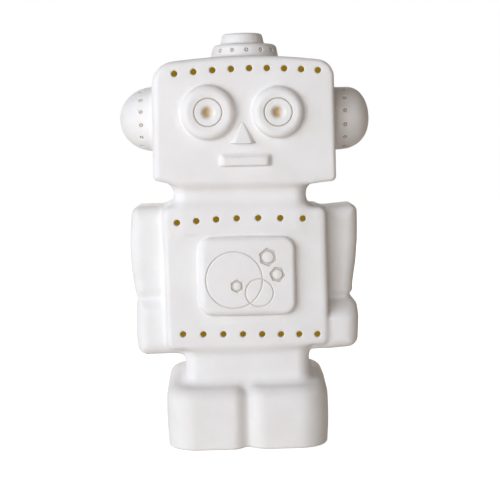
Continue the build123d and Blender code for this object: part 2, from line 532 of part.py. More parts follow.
def section(whole, *cuts):
    """What is left of a part on the kept side of each cut."""
    with BuildPart() as kept:
        add(whole)
        for plane, side in cuts:
            split(bisect_by=plane, keep=side)
    return kept.part


head = section(casting.part, above_neck)
crown = section(head, above_ears)
skull = section(head, other_side(above_ears), other_side(right_of_head), other_side(left_of_head))
trunk = section(casting.part, other_side(above_neck), above_waist)
chest = section(trunk, other_side(right_of_torso), other_side(left_of_torso))
in_back = other_side(in_front)
crown_front, crown_back = section(crown, in_front), section(crown, in_back)
skull_front, skull_back = section(skull, in_front), section(skull, in_back)
chest_front, chest_back = section(chest, in_front), section(chest, in_back)
ears = [section(head, cut, other_side(above_ears)) for cut in (left_of_head, right_of_head)]
arms = [section(trunk, cut) for cut in (left_of_torso, right_of_torso)]
feet = section(casting.part, other_side(above_waist))

with BuildPart() as porcelain_crown_front:
    add(crown_front)
porcelain_crown_front.part.label = "porcelain_crown_front"

with BuildPart() as porcelain_crown_back:
    add(crown_back)
porcelain_crown_back.part.label = "porcelain_crown_back"

with BuildPart() as porcelain_head_front:
    add(skull_front)
porcelain_head_front.part.label = "porcelain_head_front"

with BuildPart() as porcelain_head_back:
    add(skull_back)
porcelain_head_back.part.label = "porcelain_head_back"

with BuildPart() as porcelain_ears:
    add(ears)
porcelain_ears.part.label = "porcelain_ears"

with BuildPart() as porcelain_trunk_front:
    add(chest_front)
porcelain_trunk_front.part.label = "porcelain_trunk_front"

with BuildPart() as porcelain_trunk_back:
    add(chest_back)
porcelain_trunk_back.part.label = "porcelain_trunk_back"

with BuildPart() as porcelain_arms:
    add(arms)
porcelain_arms.part.label = "porcelain_arms"

with BuildPart() as porcelain_feet:
    add(feet)
porcelain_feet.part.label = "porcelain_feet"

with BuildPart() as foot_pads:
    with Locations(*[(x, y) for x in (-PAD_X, PAD_X) for y in (PAD_FRONT_Y, PAD_BACK_Y)]):
        Cylinder(PAD_RADIUS, PAD_THICK, align=ON_FLOOR)
foot_pads.part.label = "foot_pads"


# ------------------------------------------------------------------ helpers for the light unit
def turn(corners):
    """Solid turned about the light unit's axis, from (radius, height) corners."""
    with BuildPart() as turned:
        with BuildSketch(Plane.XZ.offset(-LIGHT_Y)):
            with BuildLine():
                Polyline(*corners, close=True)
            make_face()
        revolve(axis=LIGHT_AXIS)
    return turned.part


def ring_places(count, radius, height, phase=0.0):
    """Points spaced evenly on a circle round the light unit's axis."""
    angles = [2 * pi * (i + phase) / count for i in range(count)]
    return [(radius * cos(angle), LIGHT_Y + radius * sin(angle), height) for angle in angles]


def rod(start, end, radius):
    """Straight round rod from one point to another."""
    run = Vector(*end) - Vector(*start)
    with BuildPart(Plane(origin=start, z_dir=run)) as made:
        Cylinder(radius, run.length, align=ON_FLOOR)
    return made.part


# ------------------------------------------------------------------ cover, lid and cable inlet
cover_inner = COVER_RADIUS - COVER_WALL
lid_screw_places = [(x, LIGHT_Y) for x in (-BOSS_X, BOSS_X)]

with BuildPart() as base_cover:
    add(
        turn(
            [
                (TUBE_HOLE_RADIUS, COVER_INSIDE_TOP),
                (TUBE_HOLE_RADIUS, COVER_TOP),
                (COVER_RADIUS - COVER_EDGE, COVER_TOP),
                (COVER_RADIUS, COVER_TOP - COVER_EDGE),
                (COVER_RADIUS, UNIT_BOTTOM),
                (cover_inner, UNIT_BOTTOM),
                (cover_inner, COVER_INSIDE_TOP),
            ]
        )
    )
    with BuildSketch(Plane.XY.offset(LID_TOP)):
        with Locations(*lid_screw_places):
            Circle(BOSS_RADIUS)
    extrude(amount=COVER_INSIDE_TOP - LID_TOP)
    with BuildSketch(Plane.XY.offset(LID_TOP)):
        with Locations(*lid_screw_places):
            Circle(LID_SCREW_RADIUS + FIT_GAP)
    extrude(amount=LID_SCREW_LENGTH, mode=Mode.SUBTRACT)
    with Locations(Plane(origin=(0, LIGHT_Y, INLET_Z), z_dir=(0, 1, 0))):
        Cylinder(BUSH_NECK_RADIUS + FIT_GAP, COVER_RADIUS + 1, align=ON_FLOOR, mode=Mode.SUBTRACT)
base_cover.part.label = "base_cover"

with BuildPart() as base_lid:
    with BuildSketch(Plane.XY.offset(UNIT_BOTTOM)):
        with Locations((0, LIGHT_Y)):
            Circle(cover_inner - LID_GAP)
        with Locations(*[(x, y) for x, y, z in ring_places(LID_VENTS, LID_VENT_CIRCLE, 0, 0.5)]):
            Circle(LID_VENT_RADIUS, mode=Mode.SUBTRACT)
        with Locations(*lid_screw_places):
            Circle(LID_SCREW_RADIUS + FIT_GAP, mode=Mode.SUBTRACT)
    extrude(amount=LID_THICK)
    with BuildSketch(Plane.XY.offset(UNIT_BOTTOM)):
        with Locations(*lid_screw_places):
            Circle(LID_SCREW_HEAD_RADIUS + FIT_GAP)
    extrude(amount=LID_SCREW_HEAD, mode=Mode.SUBTRACT)
base_lid.part.label = "base_lid"

with BuildPart() as lid_screws:
    with Locations(*[(x, y, UNIT_BOTTOM) for x, y in lid_screw_places]):
        Cylinder(LID_SCREW_HEAD_RADIUS, LID_SCREW_HEAD, align=ON_FLOOR)
        Cylinder(LID_SCREW_RADIUS, LID_SCREW_HEAD + LID_SCREW_LENGTH, align=ON_FLOOR)
        Box(DRIVE_LENGTH, DRIVE_WIDTH, DRIVE_DEPTH, align=ON_FLOOR, mode=Mode.SUBTRACT)
        Box(DRIVE_WIDTH, DRIVE_LENGTH, DRIVE_DEPTH, align=ON_FLOOR, mode=Mode.SUBTRACT)
lid_screws.part.label = "lid_screws"

bush_inside_y = LIGHT_Y + sqrt(cover_inner**2 - BUSH_BARB_RADIUS**2)
bush_outside_y = LIGHT_Y + COVER_RADIUS
with BuildPart() as cable_bush:
    with BuildSketch(Plane.YZ):
        with BuildLine():
            Polyline(
                (bush_inside_y - BUSH_BARB, INLET_Z + CABLE_RADIUS),
                (bush_outside_y + BUSH_FLANGE, INLET_Z + CABLE_RADIUS),
                (bush_outside_y + BUSH_FLANGE, INLET_Z + BUSH_FLANGE_RADIUS),
                (bush_outside_y, INLET_Z + BUSH_FLANGE_RADIUS),
                (bush_outside_y, INLET_Z + BUSH_NECK_RADIUS),
                (bush_inside_y, INLET_Z + BUSH_NECK_RADIUS),
                (bush_inside_y, INLET_Z + BUSH_BARB_RADIUS),
                (bush_inside_y - BUSH_BARB, INLET_Z + BUSH_NECK_RADIUS),
                close=True,
            )
        make_face()
    revolve(axis=Axis((0, 0, INLET_Z), (0, 1, 0)))
cable_bush.part.label = "cable_bush"

# ------------------------------------------------------------------ tube, nut, washer and spring leaves
tube_bottom, tube_top = NUT_TOP - NUT_THICK - TUBE_BELOW_NUT, HOLDER_BOTTOM + TUBE_ENGAGED
with BuildPart() as threaded_tube:
    with Locations((0, LIGHT_Y, tube_bottom)):
        Cylinder(TUBE_RADIUS, tube_top - tube_bottom, align=ON_FLOOR)
        Cylinder(TUBE_RADIUS - TUBE_WALL, tube_top - tube_bottom, align=ON_FLOOR, mode=Mode.SUBTRACT)
threaded_tube.part.label = "threaded_tube"

with BuildPart() as lock_nut:
    with BuildSketch(Plane.XY.offset(NUT_TOP - NUT_THICK)):
        with Locations((0, LIGHT_Y)):
            RegularPolygon(TUBE_RADIUS + NUT_WALL, 6, major_radius=False)
            Circle(TUBE_HOLE_RADIUS, mode=Mode.SUBTRACT)
    extrude(amount=NUT_THICK)
lock_nut.part.label = "lock_nut"

washer_radius = TUBE_RADIUS + WASHER_WALL
with BuildPart() as toothed_washer:
    with BuildSketch(Plane.XY.offset(NUT_TOP)):
        with Locations((0, LIGHT_Y)):
            Circle(washer_radius)
            Circle(TUBE_HOLE_RADIUS, mode=Mode.SUBTRACT)
        with Locations(*[(x, y) for x, y, z in ring_places(WASHER_TEETH, washer_radius, 0)]):
            Circle(TOOTH_GAP / 2, mode=Mode.SUBTRACT)
    extrude(amount=WASHER_THICK)
toothed_washer.part.label = "toothed_washer"

with BuildPart() as spring_bracket:
    with BuildSketch(Plane.XZ.offset(-LIGHT_Y - LEAF_WIDTH / 2)):
        with BuildLine():
            leaf_line = FilletPolyline(
                (-LEAF_TIP_X, COVER_TOP + LEAF_TIP_RISE),
                (-LEAF_BOW_X, COVER_TOP + LEAF_BOW_RISE),
                (-LEAF_ROOT_X, COVER_TOP),
                (LEAF_ROOT_X, COVER_TOP),
                (LEAF_BOW_X, COVER_TOP + LEAF_BOW_RISE),
                (LEAF_TIP_X, COVER_TOP + LEAF_TIP_RISE),
                radius=LEAF_BEND,
            )
            offset(leaf_line, amount=LEAF_THICK, side=Side.LEFT)
        make_face()
    extrude(amount=LEAF_WIDTH)
    with Locations((0, LIGHT_Y, COVER_TOP)):
        Cylinder(HOLDER_FOOT_RADIUS, LEAF_THICK, align=ON_FLOOR)
        Cylinder(TUBE_HOLE_RADIUS, LEAF_THICK, align=ON_FLOOR, mode=Mode.SUBTRACT)
spring_bracket.part.label = "spring_bracket"

# ------------------------------------------------------------------ lampholder
wire_space_bottom = BLOCK_BOTTOM - WIRE_SPACE_HEIGHT
lock_screw_plane = Plane(origin=(TUBE_RADIUS, LIGHT_Y, HOLDER_BOTTOM + LOCK_SCREW_RISE), z_dir=(1, 0, 0))
wire_space_radius = HOLDER_INNER_RADIUS - WIRE_SPACE_LEDGE

with BuildPart() as holder_cap:
    add(
        turn(
            [
                (TUBE_HOLE_RADIUS, HOLDER_BOTTOM),
                (HOLDER_FOOT_RADIUS, HOLDER_BOTTOM),
                (HOLDER_FOOT_RADIUS, HOLDER_BOTTOM + HOLDER_FOOT_HEIGHT),
                (HOLDER_RADIUS, HOLDER_BOTTOM + HOLDER_FOOT_HEIGHT + HOLDER_CONE_HEIGHT),
                (HOLDER_RADIUS, HOLDER_JOINT),
                (HOLDER_INNER_RADIUS, HOLDER_JOINT),
                (HOLDER_INNER_RADIUS, BLOCK_BOTTOM),
                (wire_space_radius, BLOCK_BOTTOM),
                (wire_space_radius, wire_space_bottom),
                (TUBE_HOLE_RADIUS, wire_space_bottom),
            ]
        )
    )
    with Locations(lock_screw_plane):
        Cylinder(LOCK_SCREW_RADIUS + FIT_GAP, 2 * LOCK_SCREW_LENGTH, align=ON_FLOOR, mode=Mode.SUBTRACT)
holder_cap.part.label = "holder_cap"

with BuildPart() as tube_lock_screw:
    with Locations(lock_screw_plane):
        Cylinder(LOCK_SCREW_RADIUS, LOCK_SCREW_LENGTH, align=ON_FLOOR)
    slot_plane = lock_screw_plane.offset(LOCK_SCREW_LENGTH - DRIVE_DEPTH)
    with Locations(slot_plane):
        Box(DRIVE_WIDTH, 2 * LOCK_SCREW_RADIUS, DRIVE_DEPTH, align=ON_FLOOR, mode=Mode.SUBTRACT)
tube_lock_screw.part.label = "tube_lock_screw"

spigot_radius = HOLDER_INNER_RADIUS - FIT_GAP
spigot_inner = spigot_radius - SLEEVE_LAP_WALL
sleeve_collar_radius = CAP_SKIRT_RADIUS + SLEEVE_COLLAR_ROOM
with BuildPart() as holder_sleeve:
    add(
        turn(
            [
                (spigot_inner, BLOCK_TOP),
                (spigot_radius, BLOCK_TOP),
                (spigot_radius, HOLDER_JOINT),
                (HOLDER_RADIUS, HOLDER_JOINT),
                (HOLDER_RADIUS, SLEEVE_TOP - SLEEVE_COLLAR_HEIGHT),
                (HOLDER_RADIUS - SLEEVE_TAPER, SLEEVE_TOP),
                (sleeve_collar_radius, SLEEVE_TOP),
                (sleeve_collar_radius, SLEEVE_TOP - SLEEVE_COLLAR_HEIGHT + HOLDER_WALL),
                (spigot_inner, SLEEVE_TOP - SLEEVE_COLLAR_HEIGHT),
            ]
        )
    )
    with Locations(*ring_places(SLEEVE_GROOVES, HOLDER_RADIUS, HOLDER_JOINT + SLEEVE_LAP)):
        Cylinder(GROOVE_WIDTH / 2, GROOVE_LENGTH, align=ON_FLOOR, mode=Mode.SUBTRACT)
holder_sleeve.part.label = "holder_sleeve"

clamp_places = [(side * TERMINAL_X, LIGHT_Y, BLOCK_BOTTOM) for side in (-1, 1)]
terminal_screw_places = [(side * TERMINAL_SCREW_X, LIGHT_Y, BLOCK_BOTTOM) for side in (-1, 1)]
rivet_places = [(SHELL_RIVET_X, LIGHT_Y), (CONTACT_RIVET_X, LIGHT_Y)]
clamp_top = BLOCK_BOTTOM + TERMINAL_HEIGHT

with BuildPart() as contact_block:
    with Locations((0, LIGHT_Y, BLOCK_BOTTOM)):
        Cylinder(BLOCK_RADIUS, BLOCK_THICK, align=ON_FLOOR)
    with Locations(*clamp_places):
        Box(
            TERMINAL_LENGTH + 2 * FIT_GAP,
            TERMINAL_WIDTH + 2 * FIT_GAP,
            TERMINAL_HEIGHT,
            align=ON_FLOOR,
            mode=Mode.SUBTRACT,
        )
    with Locations(*[(x, y, clamp_top) for x, y in rivet_places]):
        Cylinder(RIVET_RADIUS + FIT_GAP, BLOCK_THICK, align=ON_FLOOR, mode=Mode.SUBTRACT)
contact_block.part.label = "contact_block"

with BuildPart() as terminal_clamps:
    with Locations(*clamp_places):
        Box(TERMINAL_LENGTH, TERMINAL_WIDTH, TERMINAL_HEIGHT, align=ON_FLOOR)
    with Locations(*terminal_screw_places):
        Cylinder(TERMINAL_SCREW_RADIUS + FIT_GAP, TERMINAL_SCREW_LENGTH, align=ON_FLOOR, mode=Mode.SUBTRACT)
terminal_clamps.part.label = "terminal_clamps"

with BuildPart() as terminal_screws:
    with Locations(*terminal_screw_places):
        Cylinder(TERMINAL_SCREW_RADIUS, TERMINAL_SCREW_LENGTH, align=ON_FLOOR)
    with Locations(*[(x, y, z - TERMINAL_SCREW_HEAD) for x, y, z in terminal_screw_places]):
        Cylinder(TERMINAL_SCREW_HEAD_RADIUS, TERMINAL_SCREW_HEAD, align=ON_FLOOR)
        Box(DRIVE_WIDTH, DRIVE_LENGTH, DRIVE_DEPTH, align=ON_FLOOR, mode=Mode.SUBTRACT)
terminal_screws.part.label = "terminal_screws"

with BuildPart() as screw_shell:
    add(
        turn(
            [
                (SHELL_BORE_RADIUS, BLOCK_TOP),
                (SHELL_FLANGE_RADIUS, BLOCK_TOP),
                (SHELL_FLANGE_RADIUS, BLOCK_TOP + SHELL_WALL),
                (SHELL_OUTER_RADIUS, BLOCK_TOP + SHELL_WALL),
                (SHELL_OUTER_RADIUS, BLOCK_TOP + SHELL_LENGTH),
                (SHELL_BORE_RADIUS, BLOCK_TOP + SHELL_LENGTH),
            ]
        )
    )
    with Locations((*rivet_places[0], BLOCK_TOP)):
        Cylinder(RIVET_RADIUS + FIT_GAP, SHELL_WALL, align=ON_FLOOR, mode=Mode.SUBTRACT)
screw_shell.part.label = "screw_shell"

with BuildPart() as centre_contact:
    with BuildSketch(Plane.XZ.offset(-LIGHT_Y - CONTACT_WIDTH / 2)):
        with BuildLine():
            Polyline(
                (CONTACT_FOOT_X, BLOCK_TOP),
                (CONTACT_FOOT_X, BLOCK_TOP + CONTACT_THICK),
                (CONTACT_KNEE_X, BLOCK_TOP + CONTACT_THICK),
                (CONTACT_TOP_X, BULB_BOTTOM),
                (CONTACT_END_X, BULB_BOTTOM),
                (CONTACT_END_X, BULB_BOTTOM - CONTACT_THICK),
                (CONTACT_TOP_X - CONTACT_THICK, BULB_BOTTOM - CONTACT_THICK),
                (CONTACT_KNEE_X - CONTACT_THICK, BLOCK_TOP),
                close=True,
            )
        make_face()
    extrude(amount=CONTACT_WIDTH)
    with Locations((*rivet_places[1], BLOCK_TOP)):
        Cylinder(RIVET_RADIUS + FIT_GAP, CONTACT_THICK, align=ON_FLOOR, mode=Mode.SUBTRACT)
centre_contact.part.label = "centre_contact"

with BuildPart() as contact_rivets:
    for place, under_head in zip(rivet_places, (SHELL_WALL, CONTACT_THICK)):
        with Locations((*place, clamp_top)):
            Cylinder(RIVET_RADIUS, BLOCK_TOP + under_head - clamp_top, align=ON_FLOOR)
        with Locations((*place, BLOCK_TOP + under_head)):
            Cylinder(RIVET_HEAD_RADIUS, RIVET_HEAD, align=ON_FLOOR)
contact_rivets.part.label = "contact_rivets"

# ------------------------------------------------------------------ bulb
cap_inner = CAP_ROOT_RADIUS - CAP_WALL
thread_bottom = BULB_BOTTOM + CAP_THREAD_START
thread_top = thread_bottom + CAP_THREADS * THREAD_PITCH
skirt_bottom = CAP_TOP - CAP_SKIRT_HEIGHT
thread_ridges = []
for i in range(CAP_THREADS):
    foot_z = thread_bottom + i * THREAD_PITCH
    thread_ridges += [(CAP_ROOT_RADIUS, foot_z), (CAP_CREST_RADIUS, foot_z + THREAD_PITCH / 2)]

with BuildPart() as bulb_cap:
    add(
        turn(
            [
                (cap_inner, CAP_BOTTOM),
                (CAP_ROOT_RADIUS, CAP_BOTTOM),
                *thread_ridges,
                (CAP_ROOT_RADIUS, thread_top),
                (CAP_SKIRT_RADIUS, skirt_bottom),
                (CAP_SKIRT_RADIUS, CAP_TOP),
                (CAP_SKIRT_RADIUS - CAP_WALL, CAP_TOP),
                (CAP_SKIRT_RADIUS - CAP_WALL, skirt_bottom),
                (cap_inner, thread_top),
            ]
        )
    )
bulb_cap.part.label = "bulb_cap"

with BuildPart() as tip_contact:
    with Locations((0, LIGHT_Y, BULB_BOTTOM)):
        Cylinder(TIP_RADIUS, TIP_HEIGHT, align=ON_FLOOR)
tip_contact.part.label = "tip_contact"

insulator_bottom = BULB_BOTTOM + TIP_HEIGHT
with BuildPart() as cap_insulator:
    add(
        turn(
            [
                (0, insulator_bottom),
                (TIP_RADIUS + CAP_WALL, insulator_bottom),
                (CAP_ROOT_RADIUS - INSULATOR_EDGE, CAP_BOTTOM),
                (0, CAP_BOTTOM),
            ]
        )
    )
cap_insulator.part.label = "cap_insulator"

board_half = cap_inner - BOARD_GAP
with BuildPart() as driver_board:
    with Locations((0, LIGHT_Y, CAP_BOTTOM + WIRE_GAP)):
        Box(2 * board_half, BOARD_THICK, BOARD_HEIGHT, align=ON_FLOOR)
driver_board.part.label = "driver_board"


def candle_points(inset):
    """Points up the side of the glass, from its neck to its tip, set in from its outside."""
    height = BULB_TOP - CAP_TOP
    sides = [(share_r * BULB_RADIUS - inset, CAP_TOP + share * height) for share, share_r in CANDLE_SHAPE]
    return [(GLASS_NECK_RADIUS - inset, CAP_TOP), *sides, (0, BULB_TOP - inset)]


with BuildPart() as bulb_glass:
    with BuildSketch(Plane.XZ.offset(-LIGHT_Y)):
        with BuildLine():
            outside, inside = candle_points(0), candle_points(GLASS_WALL)
            Spline(*outside, tangents=[(0.2, 1), (-1, 0)])
            Spline(*inside, tangents=[(0.2, 1), (-1, 0)])
            Line(outside[-1], inside[-1])
            Polyline(outside[0], (outside[0][0], GLASS_BOTTOM), (inside[0][0], GLASS_BOTTOM), inside[0])
        make_face()
    revolve(axis=LIGHT_AXIS)
bulb_glass.part.label = "bulb_glass"

with BuildPart() as bulb_stem:
    add(
        turn(
            [
                (0, GLASS_BOTTOM),
                (STEM_FOOT_RADIUS, GLASS_BOTTOM),
                (STEM_FOOT_RADIUS, GLASS_BOTTOM + STEM_FOOT_THICK),
                (STEM_RADIUS, GLASS_BOTTOM + STEM_FOOT_RADIUS - STEM_RADIUS),
                (STEM_RADIUS, STEM_TOP),
                (0, STEM_TOP),
            ]
        )
    )
bulb_stem.part.label = "bulb_stem"

filament_top = STEM_TOP + FILAMENT_RISE
low_ends = ring_places(FILAMENTS, FILAMENT_LOW_CIRCLE, STEM_TOP)
high_ends = ring_places(FILAMENTS, FILAMENT_HIGH_CIRCLE, filament_top)
with BuildPart() as filaments:
    for low_end, high_end in zip(low_ends, high_ends):
        add(rod(low_end, high_end, FILAMENT_RADIUS))
filaments.part.label = "filaments"

wire_low_z = STEM_TOP - FILAMENT_RADIUS - WIRE_GAP
wire_high_z = filament_top + FILAMENT_RADIUS + WIRE_GAP
low_wire_starts = ring_places(FILAMENTS, STEM_RADIUS, wire_low_z)
low_wire_ends = ring_places(FILAMENTS, FILAMENT_LOW_CIRCLE, wire_low_z)
high_wire_ends = ring_places(FILAMENTS, FILAMENT_HIGH_CIRCLE, wire_high_z)
with BuildPart() as filament_wires:
    add(rod((0, LIGHT_Y, STEM_TOP), (0, LIGHT_Y, wire_high_z + WIRE_RADIUS), WIRE_RADIUS))
    for start, end in zip(low_wire_starts, low_wire_ends):
        add(rod(start, end, WIRE_RADIUS))
    for end in high_wire_ends:
        add(rod((0, LIGHT_Y, wire_high_z), end, WIRE_RADIUS))
filament_wires.part.label = "filament_wires"

# ------------------------------------------------------------------ one STEP file for each piece
pieces = [
    porcelain_crown_front,
    porcelain_crown_back,
    porcelain_head_front,
    porcelain_head_back,
    porcelain_ears,
    porcelain_trunk_front,
    porcelain_trunk_back,
    porcelain_arms,
    porcelain_feet,
    foot_pads,
    base_cover,
    base_lid,
    lid_screws,
    cable_bush,
    threaded_tube,
    lock_nut,
    toothed_washer,
    spring_bracket,
    holder_cap,
    tube_lock_screw,
    holder_sleeve,
    contact_block,
    terminal_clamps,
    terminal_screws,
    screw_shell,
    centre_contact,
    contact_rivets,
    bulb_cap,
    tip_contact,
    cap_insulator,
    driver_board,
    bulb_glass,
    bulb_stem,
    filaments,
    filament_wires,
]
os.makedirs("parts", exist_ok=True)
for piece in pieces:
    export_step(piece.part, f"parts/{piece.part.label}.step")
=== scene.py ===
"""Looks of the robot-shaped porcelain lamp.

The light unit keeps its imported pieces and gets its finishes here. The porcelain figure is modelled
the way it is made: soft blocks of clay blended into one another, hollow inside, with marks pressed
in and holes pierced through. Its surface is a field in millimetres, below nought inside the clay.
The field is meshed, refined along the fine marks and turned into metres.
"""

import json
from concurrent.futures import ThreadPoolExecutor
from typing import NamedTuple

import bpy
import numpy as np
import openvdb
from mathutils import Matrix, Vector


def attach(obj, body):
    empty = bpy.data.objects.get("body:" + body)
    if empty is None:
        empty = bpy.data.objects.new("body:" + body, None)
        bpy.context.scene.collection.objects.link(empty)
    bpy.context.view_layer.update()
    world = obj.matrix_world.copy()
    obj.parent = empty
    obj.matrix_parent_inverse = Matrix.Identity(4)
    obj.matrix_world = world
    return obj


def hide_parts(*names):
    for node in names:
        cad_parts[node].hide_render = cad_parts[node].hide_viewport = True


MM = 0.001
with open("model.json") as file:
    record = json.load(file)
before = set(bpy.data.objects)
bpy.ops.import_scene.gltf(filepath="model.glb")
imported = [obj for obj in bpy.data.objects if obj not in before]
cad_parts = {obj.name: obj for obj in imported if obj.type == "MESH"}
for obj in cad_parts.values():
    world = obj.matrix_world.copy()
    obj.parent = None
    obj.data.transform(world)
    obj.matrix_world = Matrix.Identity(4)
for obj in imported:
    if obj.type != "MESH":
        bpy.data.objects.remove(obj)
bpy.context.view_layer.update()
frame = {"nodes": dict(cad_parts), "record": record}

# ------------ sizes of the figure, in millimetres
# A pair is the left side's value and the right side's, or where a change starts and where it ends.
WALL = 4.2
FAR = 1000.0  # stands for a block that is out of reach
NEAR = 14  # how far above and below a block its field is still worked out
DENT_DEPTHS = (0.13, 0.10)  # unevenness of the whole surface

HEAD_HALF, HEAD_TOP_HALF = 61.2, 60.4
HEAD_FRONT, HEAD_BACK = -36.0, 42.0
HEAD_BOTTOM, HEAD_TOP = 177.5, 263.4
HEAD_CROWN_DROP, HEAD_CROWN_HEIGHTS = 4.8, (212, 245)  # how far the top falls at its ends
HEAD_CHIN_RISES = (4.0, 1.6)  # how much higher the underside is at its ends
HEAD_CHIN_OUT, HEAD_CHIN_HEIGHTS = (40, 60), (215, 190)
HEAD_TOP_CORNERS, HEAD_BOTTOM_CORNER = (13.5, 10.0), 3.6
HEAD_RIM, HEAD_RIM_CHANGE = 4.0, 0.017  # the rim gets sharper to the right, per millimetre

EAR_Y, EAR_HEIGHTS, EAR_RADII = 3.0, (223.0, 221.0), (21.9, 21.6)
EAR_ROOT, EAR_STARTS, EAR_TIPS = 50, (62.0, 68.5), (84.9, 87.2)  # how far out each part begins
EAR_LEANS, EAR_FULLNESS = (0.0, 0.14), (2.0, 2.2)  # lean of the dome's start; 2 is a round dome
EAR_FILLET = 4.0
EAR_MARKS, EAR_MARK_X, EAR_MARK_PHASE = 14, 69.2, 0.2
EAR_MARKS_FROM, EAR_MARKS_BAND = 65, 3.5

KNOB_Y, KNOB_ROOT, KNOB_FILLET = 3.0, 14, 2.6
RING_X, RING_RADIUS, RING_TOP_RADIUS = 2.0, 23.5, 21.7
RING_BOTTOM, RING_TOP, RING_EDGE = 263.0, 272.5, 2.6
CAP_X, CAP_RADIUS, CAP_TOP_RADIUS = 0.5, 15.2, 13.6
CAP_TOP, CAP_EDGE, CAP_FILLET = 280.0, 1.9, 1.6
KNOB_MARKS, KNOB_MARK_Z, KNOB_MARK_PHASE, KNOB_MARK_RADIUS = 14, 268.2, 0.28, 22.5
KNOB_MARKS_FROM, KNOB_MARKS_ABOVE = 18, 262

TORSO_X, TORSO_HALF, TORSO_FRONT, TORSO_BACK = -0.3, 54.9, -34.0, 41.0
TORSO_BOTTOM, TORSO_TOP = 67.0, 162.8
TORSO_CORNER, TORSO_RIM, TORSO_FILLET = 5.0, 3.6, 9.0
TORSO_LEAN, TORSO_LEAN_ABOUT = 0.009, 115  # sideways lean, as a slope, and where it is nought
SHOULDER_TILT, SHOULDER_HEIGHTS = 0.02, (130, 160)  # the top falls to the right
HEM_RISE, HEM_HEIGHTS = 0.03, (85, 70)  # the underside rises to the right

FEET_X, FEET_HALF, FEET_FRONT, FEET_BACK = -1.3, 54.4, -48.0, 48.0
FEET_BASE, FEET_TOP, FEET_FILLET = 0.4, 46.9, 7.5
FEET_TOP_FALL, FEET_FALL_HEIGHTS = 0.135, (15, 35)  # the top falls to the front
FEET_MIDDLE_CORNER, FOOT_OUTER_CORNER, FOOT_INNER_CORNERS = 4.0, 20.0, (8.5, 15.0)
FOOT_RIM, FOOT_BASE_RIM = 7.0, 2.0
FOOT_BULGE, FOOT_DRAW_IN = 1.6, 0.4  # fuller half-way up, and drawn in at the ends
CLEFT_X, CLEFT_DEPTH, CLEFT_FILLET = -3.2, 15.0, 7.5


class Column(NamedTuple):
    """A block with round corners that joins the blocks above and below it."""

    x: float
    half: float
    front: float
    back: float
    bottom: float
    top: float
    fillet: float


COLUMN_CORNER = 9.0
NECK = Column(x=-3.4, half=44.6, front=-31.0, back=34.0, bottom=150, top=195, fillet=7.0)
WAIST = Column(x=-0.6, half=42.4, front=-29.5, back=36.5, bottom=32, top=80, fillet=8.0)


class Arm(NamedTuple):
    """An arm: how far out it reaches at some heights, its parts, its wrist and its joint."""

    heights: tuple
    reach: tuple
    top: float
    wrist: float
    bottom: float
    front: float
    palm_front: float
    wrist_nip: float
    wrist_fillet: float
    joint_fillet: float


LEFT_ARM = Arm(
    heights=(62, 76, 97, 105, 120, 138, 156, 167),
    reach=(74.9, 76.4, 76.1, 76.6, 78.7, 79.4, 77.9, 76.8),
    top=163.9, wrist=101.5, bottom=62.2, front=-23.0, palm_front=-25.5,
    wrist_nip=0.0, wrist_fillet=7.0, joint_fillet=5.0,
)
RIGHT_ARM = Arm(
    heights=(62, 68, 78, 85, 92, 98, 105, 112, 121, 137, 156, 167),
    reach=(74.2, 74.8, 75.4, 75.6, 75.2, 73.6, 72.7, 73.7, 75.2, 76.7, 76.9, 76.0),
    top=160.8, wrist=98.2, bottom=64.4, front=-19.5, palm_front=-32.3,
    wrist_nip=1.2, wrist_fillet=4.5, joint_fillet=1.8,
)
ARM_ROOT = 42.0  # how far out the arms start, inside the torso
FOREARM_BACK, FOREARM_END_EDGE, FOREARM_EDGE = 28.0, 5.0, 8.0
HAND_BACK, HAND_END_EDGE, HAND_EDGE = 29.5, 6.0, 9.0
NIP_SPREAD, PALM_SLOPE = 2.6, 13  # how far the nip and the palm's slope go along the arm
RIGHT_RISE, RIGHT_RISE_FROM, RIGHT_RISE_OVER = 0.09, 56, 20  # the right arm rises outwards

EYES = ((-23.5, 226.4), (22.9, 225.8))
EYE_RADII, EYE_STAND, EYE_ROUND, EYE_FILLET = (18.0, 17.0), 6.4, 4.6, 2.2
EYE_DISH_RADIUS, EYE_DISH_DEPTH = 12.8, 0.9
EYE_LINE_RADIUS = 9.2
PUPIL_RADIUS, PUPIL_FLOOR_RADIUS, PUPIL_DEPTH = 4.7, 2.2, 3.1
PUPIL_FRONT = HEAD_FRONT - EYE_STAND + EYE_DISH_DEPTH
PUPIL_FLOOR_EDGE, PUPIL_RIM = 0.9, 0.7

FACE_ROOT = 3  # how deep the nose and the mouth go into the head
NOSE_X, NOSE_TOP, NOSE_BOTTOM = -0.7, 220.2, 205.6
NOSE_HALF, NOSE_FLAT_HALF, NOSE_STAND = 8.6, 5.7, 4.9
NOSE_SIDE_STEEPNESS, NOSE_EDGE, NOSE_FOOT_EDGE = 1.2, 0.5, 0.4
MOUTH_X, MOUTH_Z, MOUTH_HALF, MOUTH_HALF_HEIGHT = 0.5, 194.6, 17.9, 4.4
MOUTH_STAND, MOUTH_FILLET = 3.6, 0.6
MOUTH_END_DRAFT, MOUTH_TOP_DRAFT, MOUTH_FOOT_DRAFT = 0.85, 0.75, 0.25
MOUTH_END_EDGE, MOUTH_EDGE = 1.6, 0.9

PANEL_X, PANEL_Z, PANEL_HALF, PANEL_HALF_HEIGHT = 0.1, 116.8, 32.5, 26.4
PANEL_STAND, PANEL_FILLET, PANEL_CORNER = 5.6, 1.3, 8.0
PANEL_SWELL, PANEL_SWELL_MEAN = 1.2, 0.8  # its top and bottom are bowed
PANEL_RIMS, PANEL_RIM_PLACES = (4.8, 2.8), (10, 28)  # the rim is sharper on the right

MARK_STAND = 2  # marks are only on what stands out at least so far from a face
LINE_HALF_WIDTH, LINE_DEPTH = 0.45, 0.7
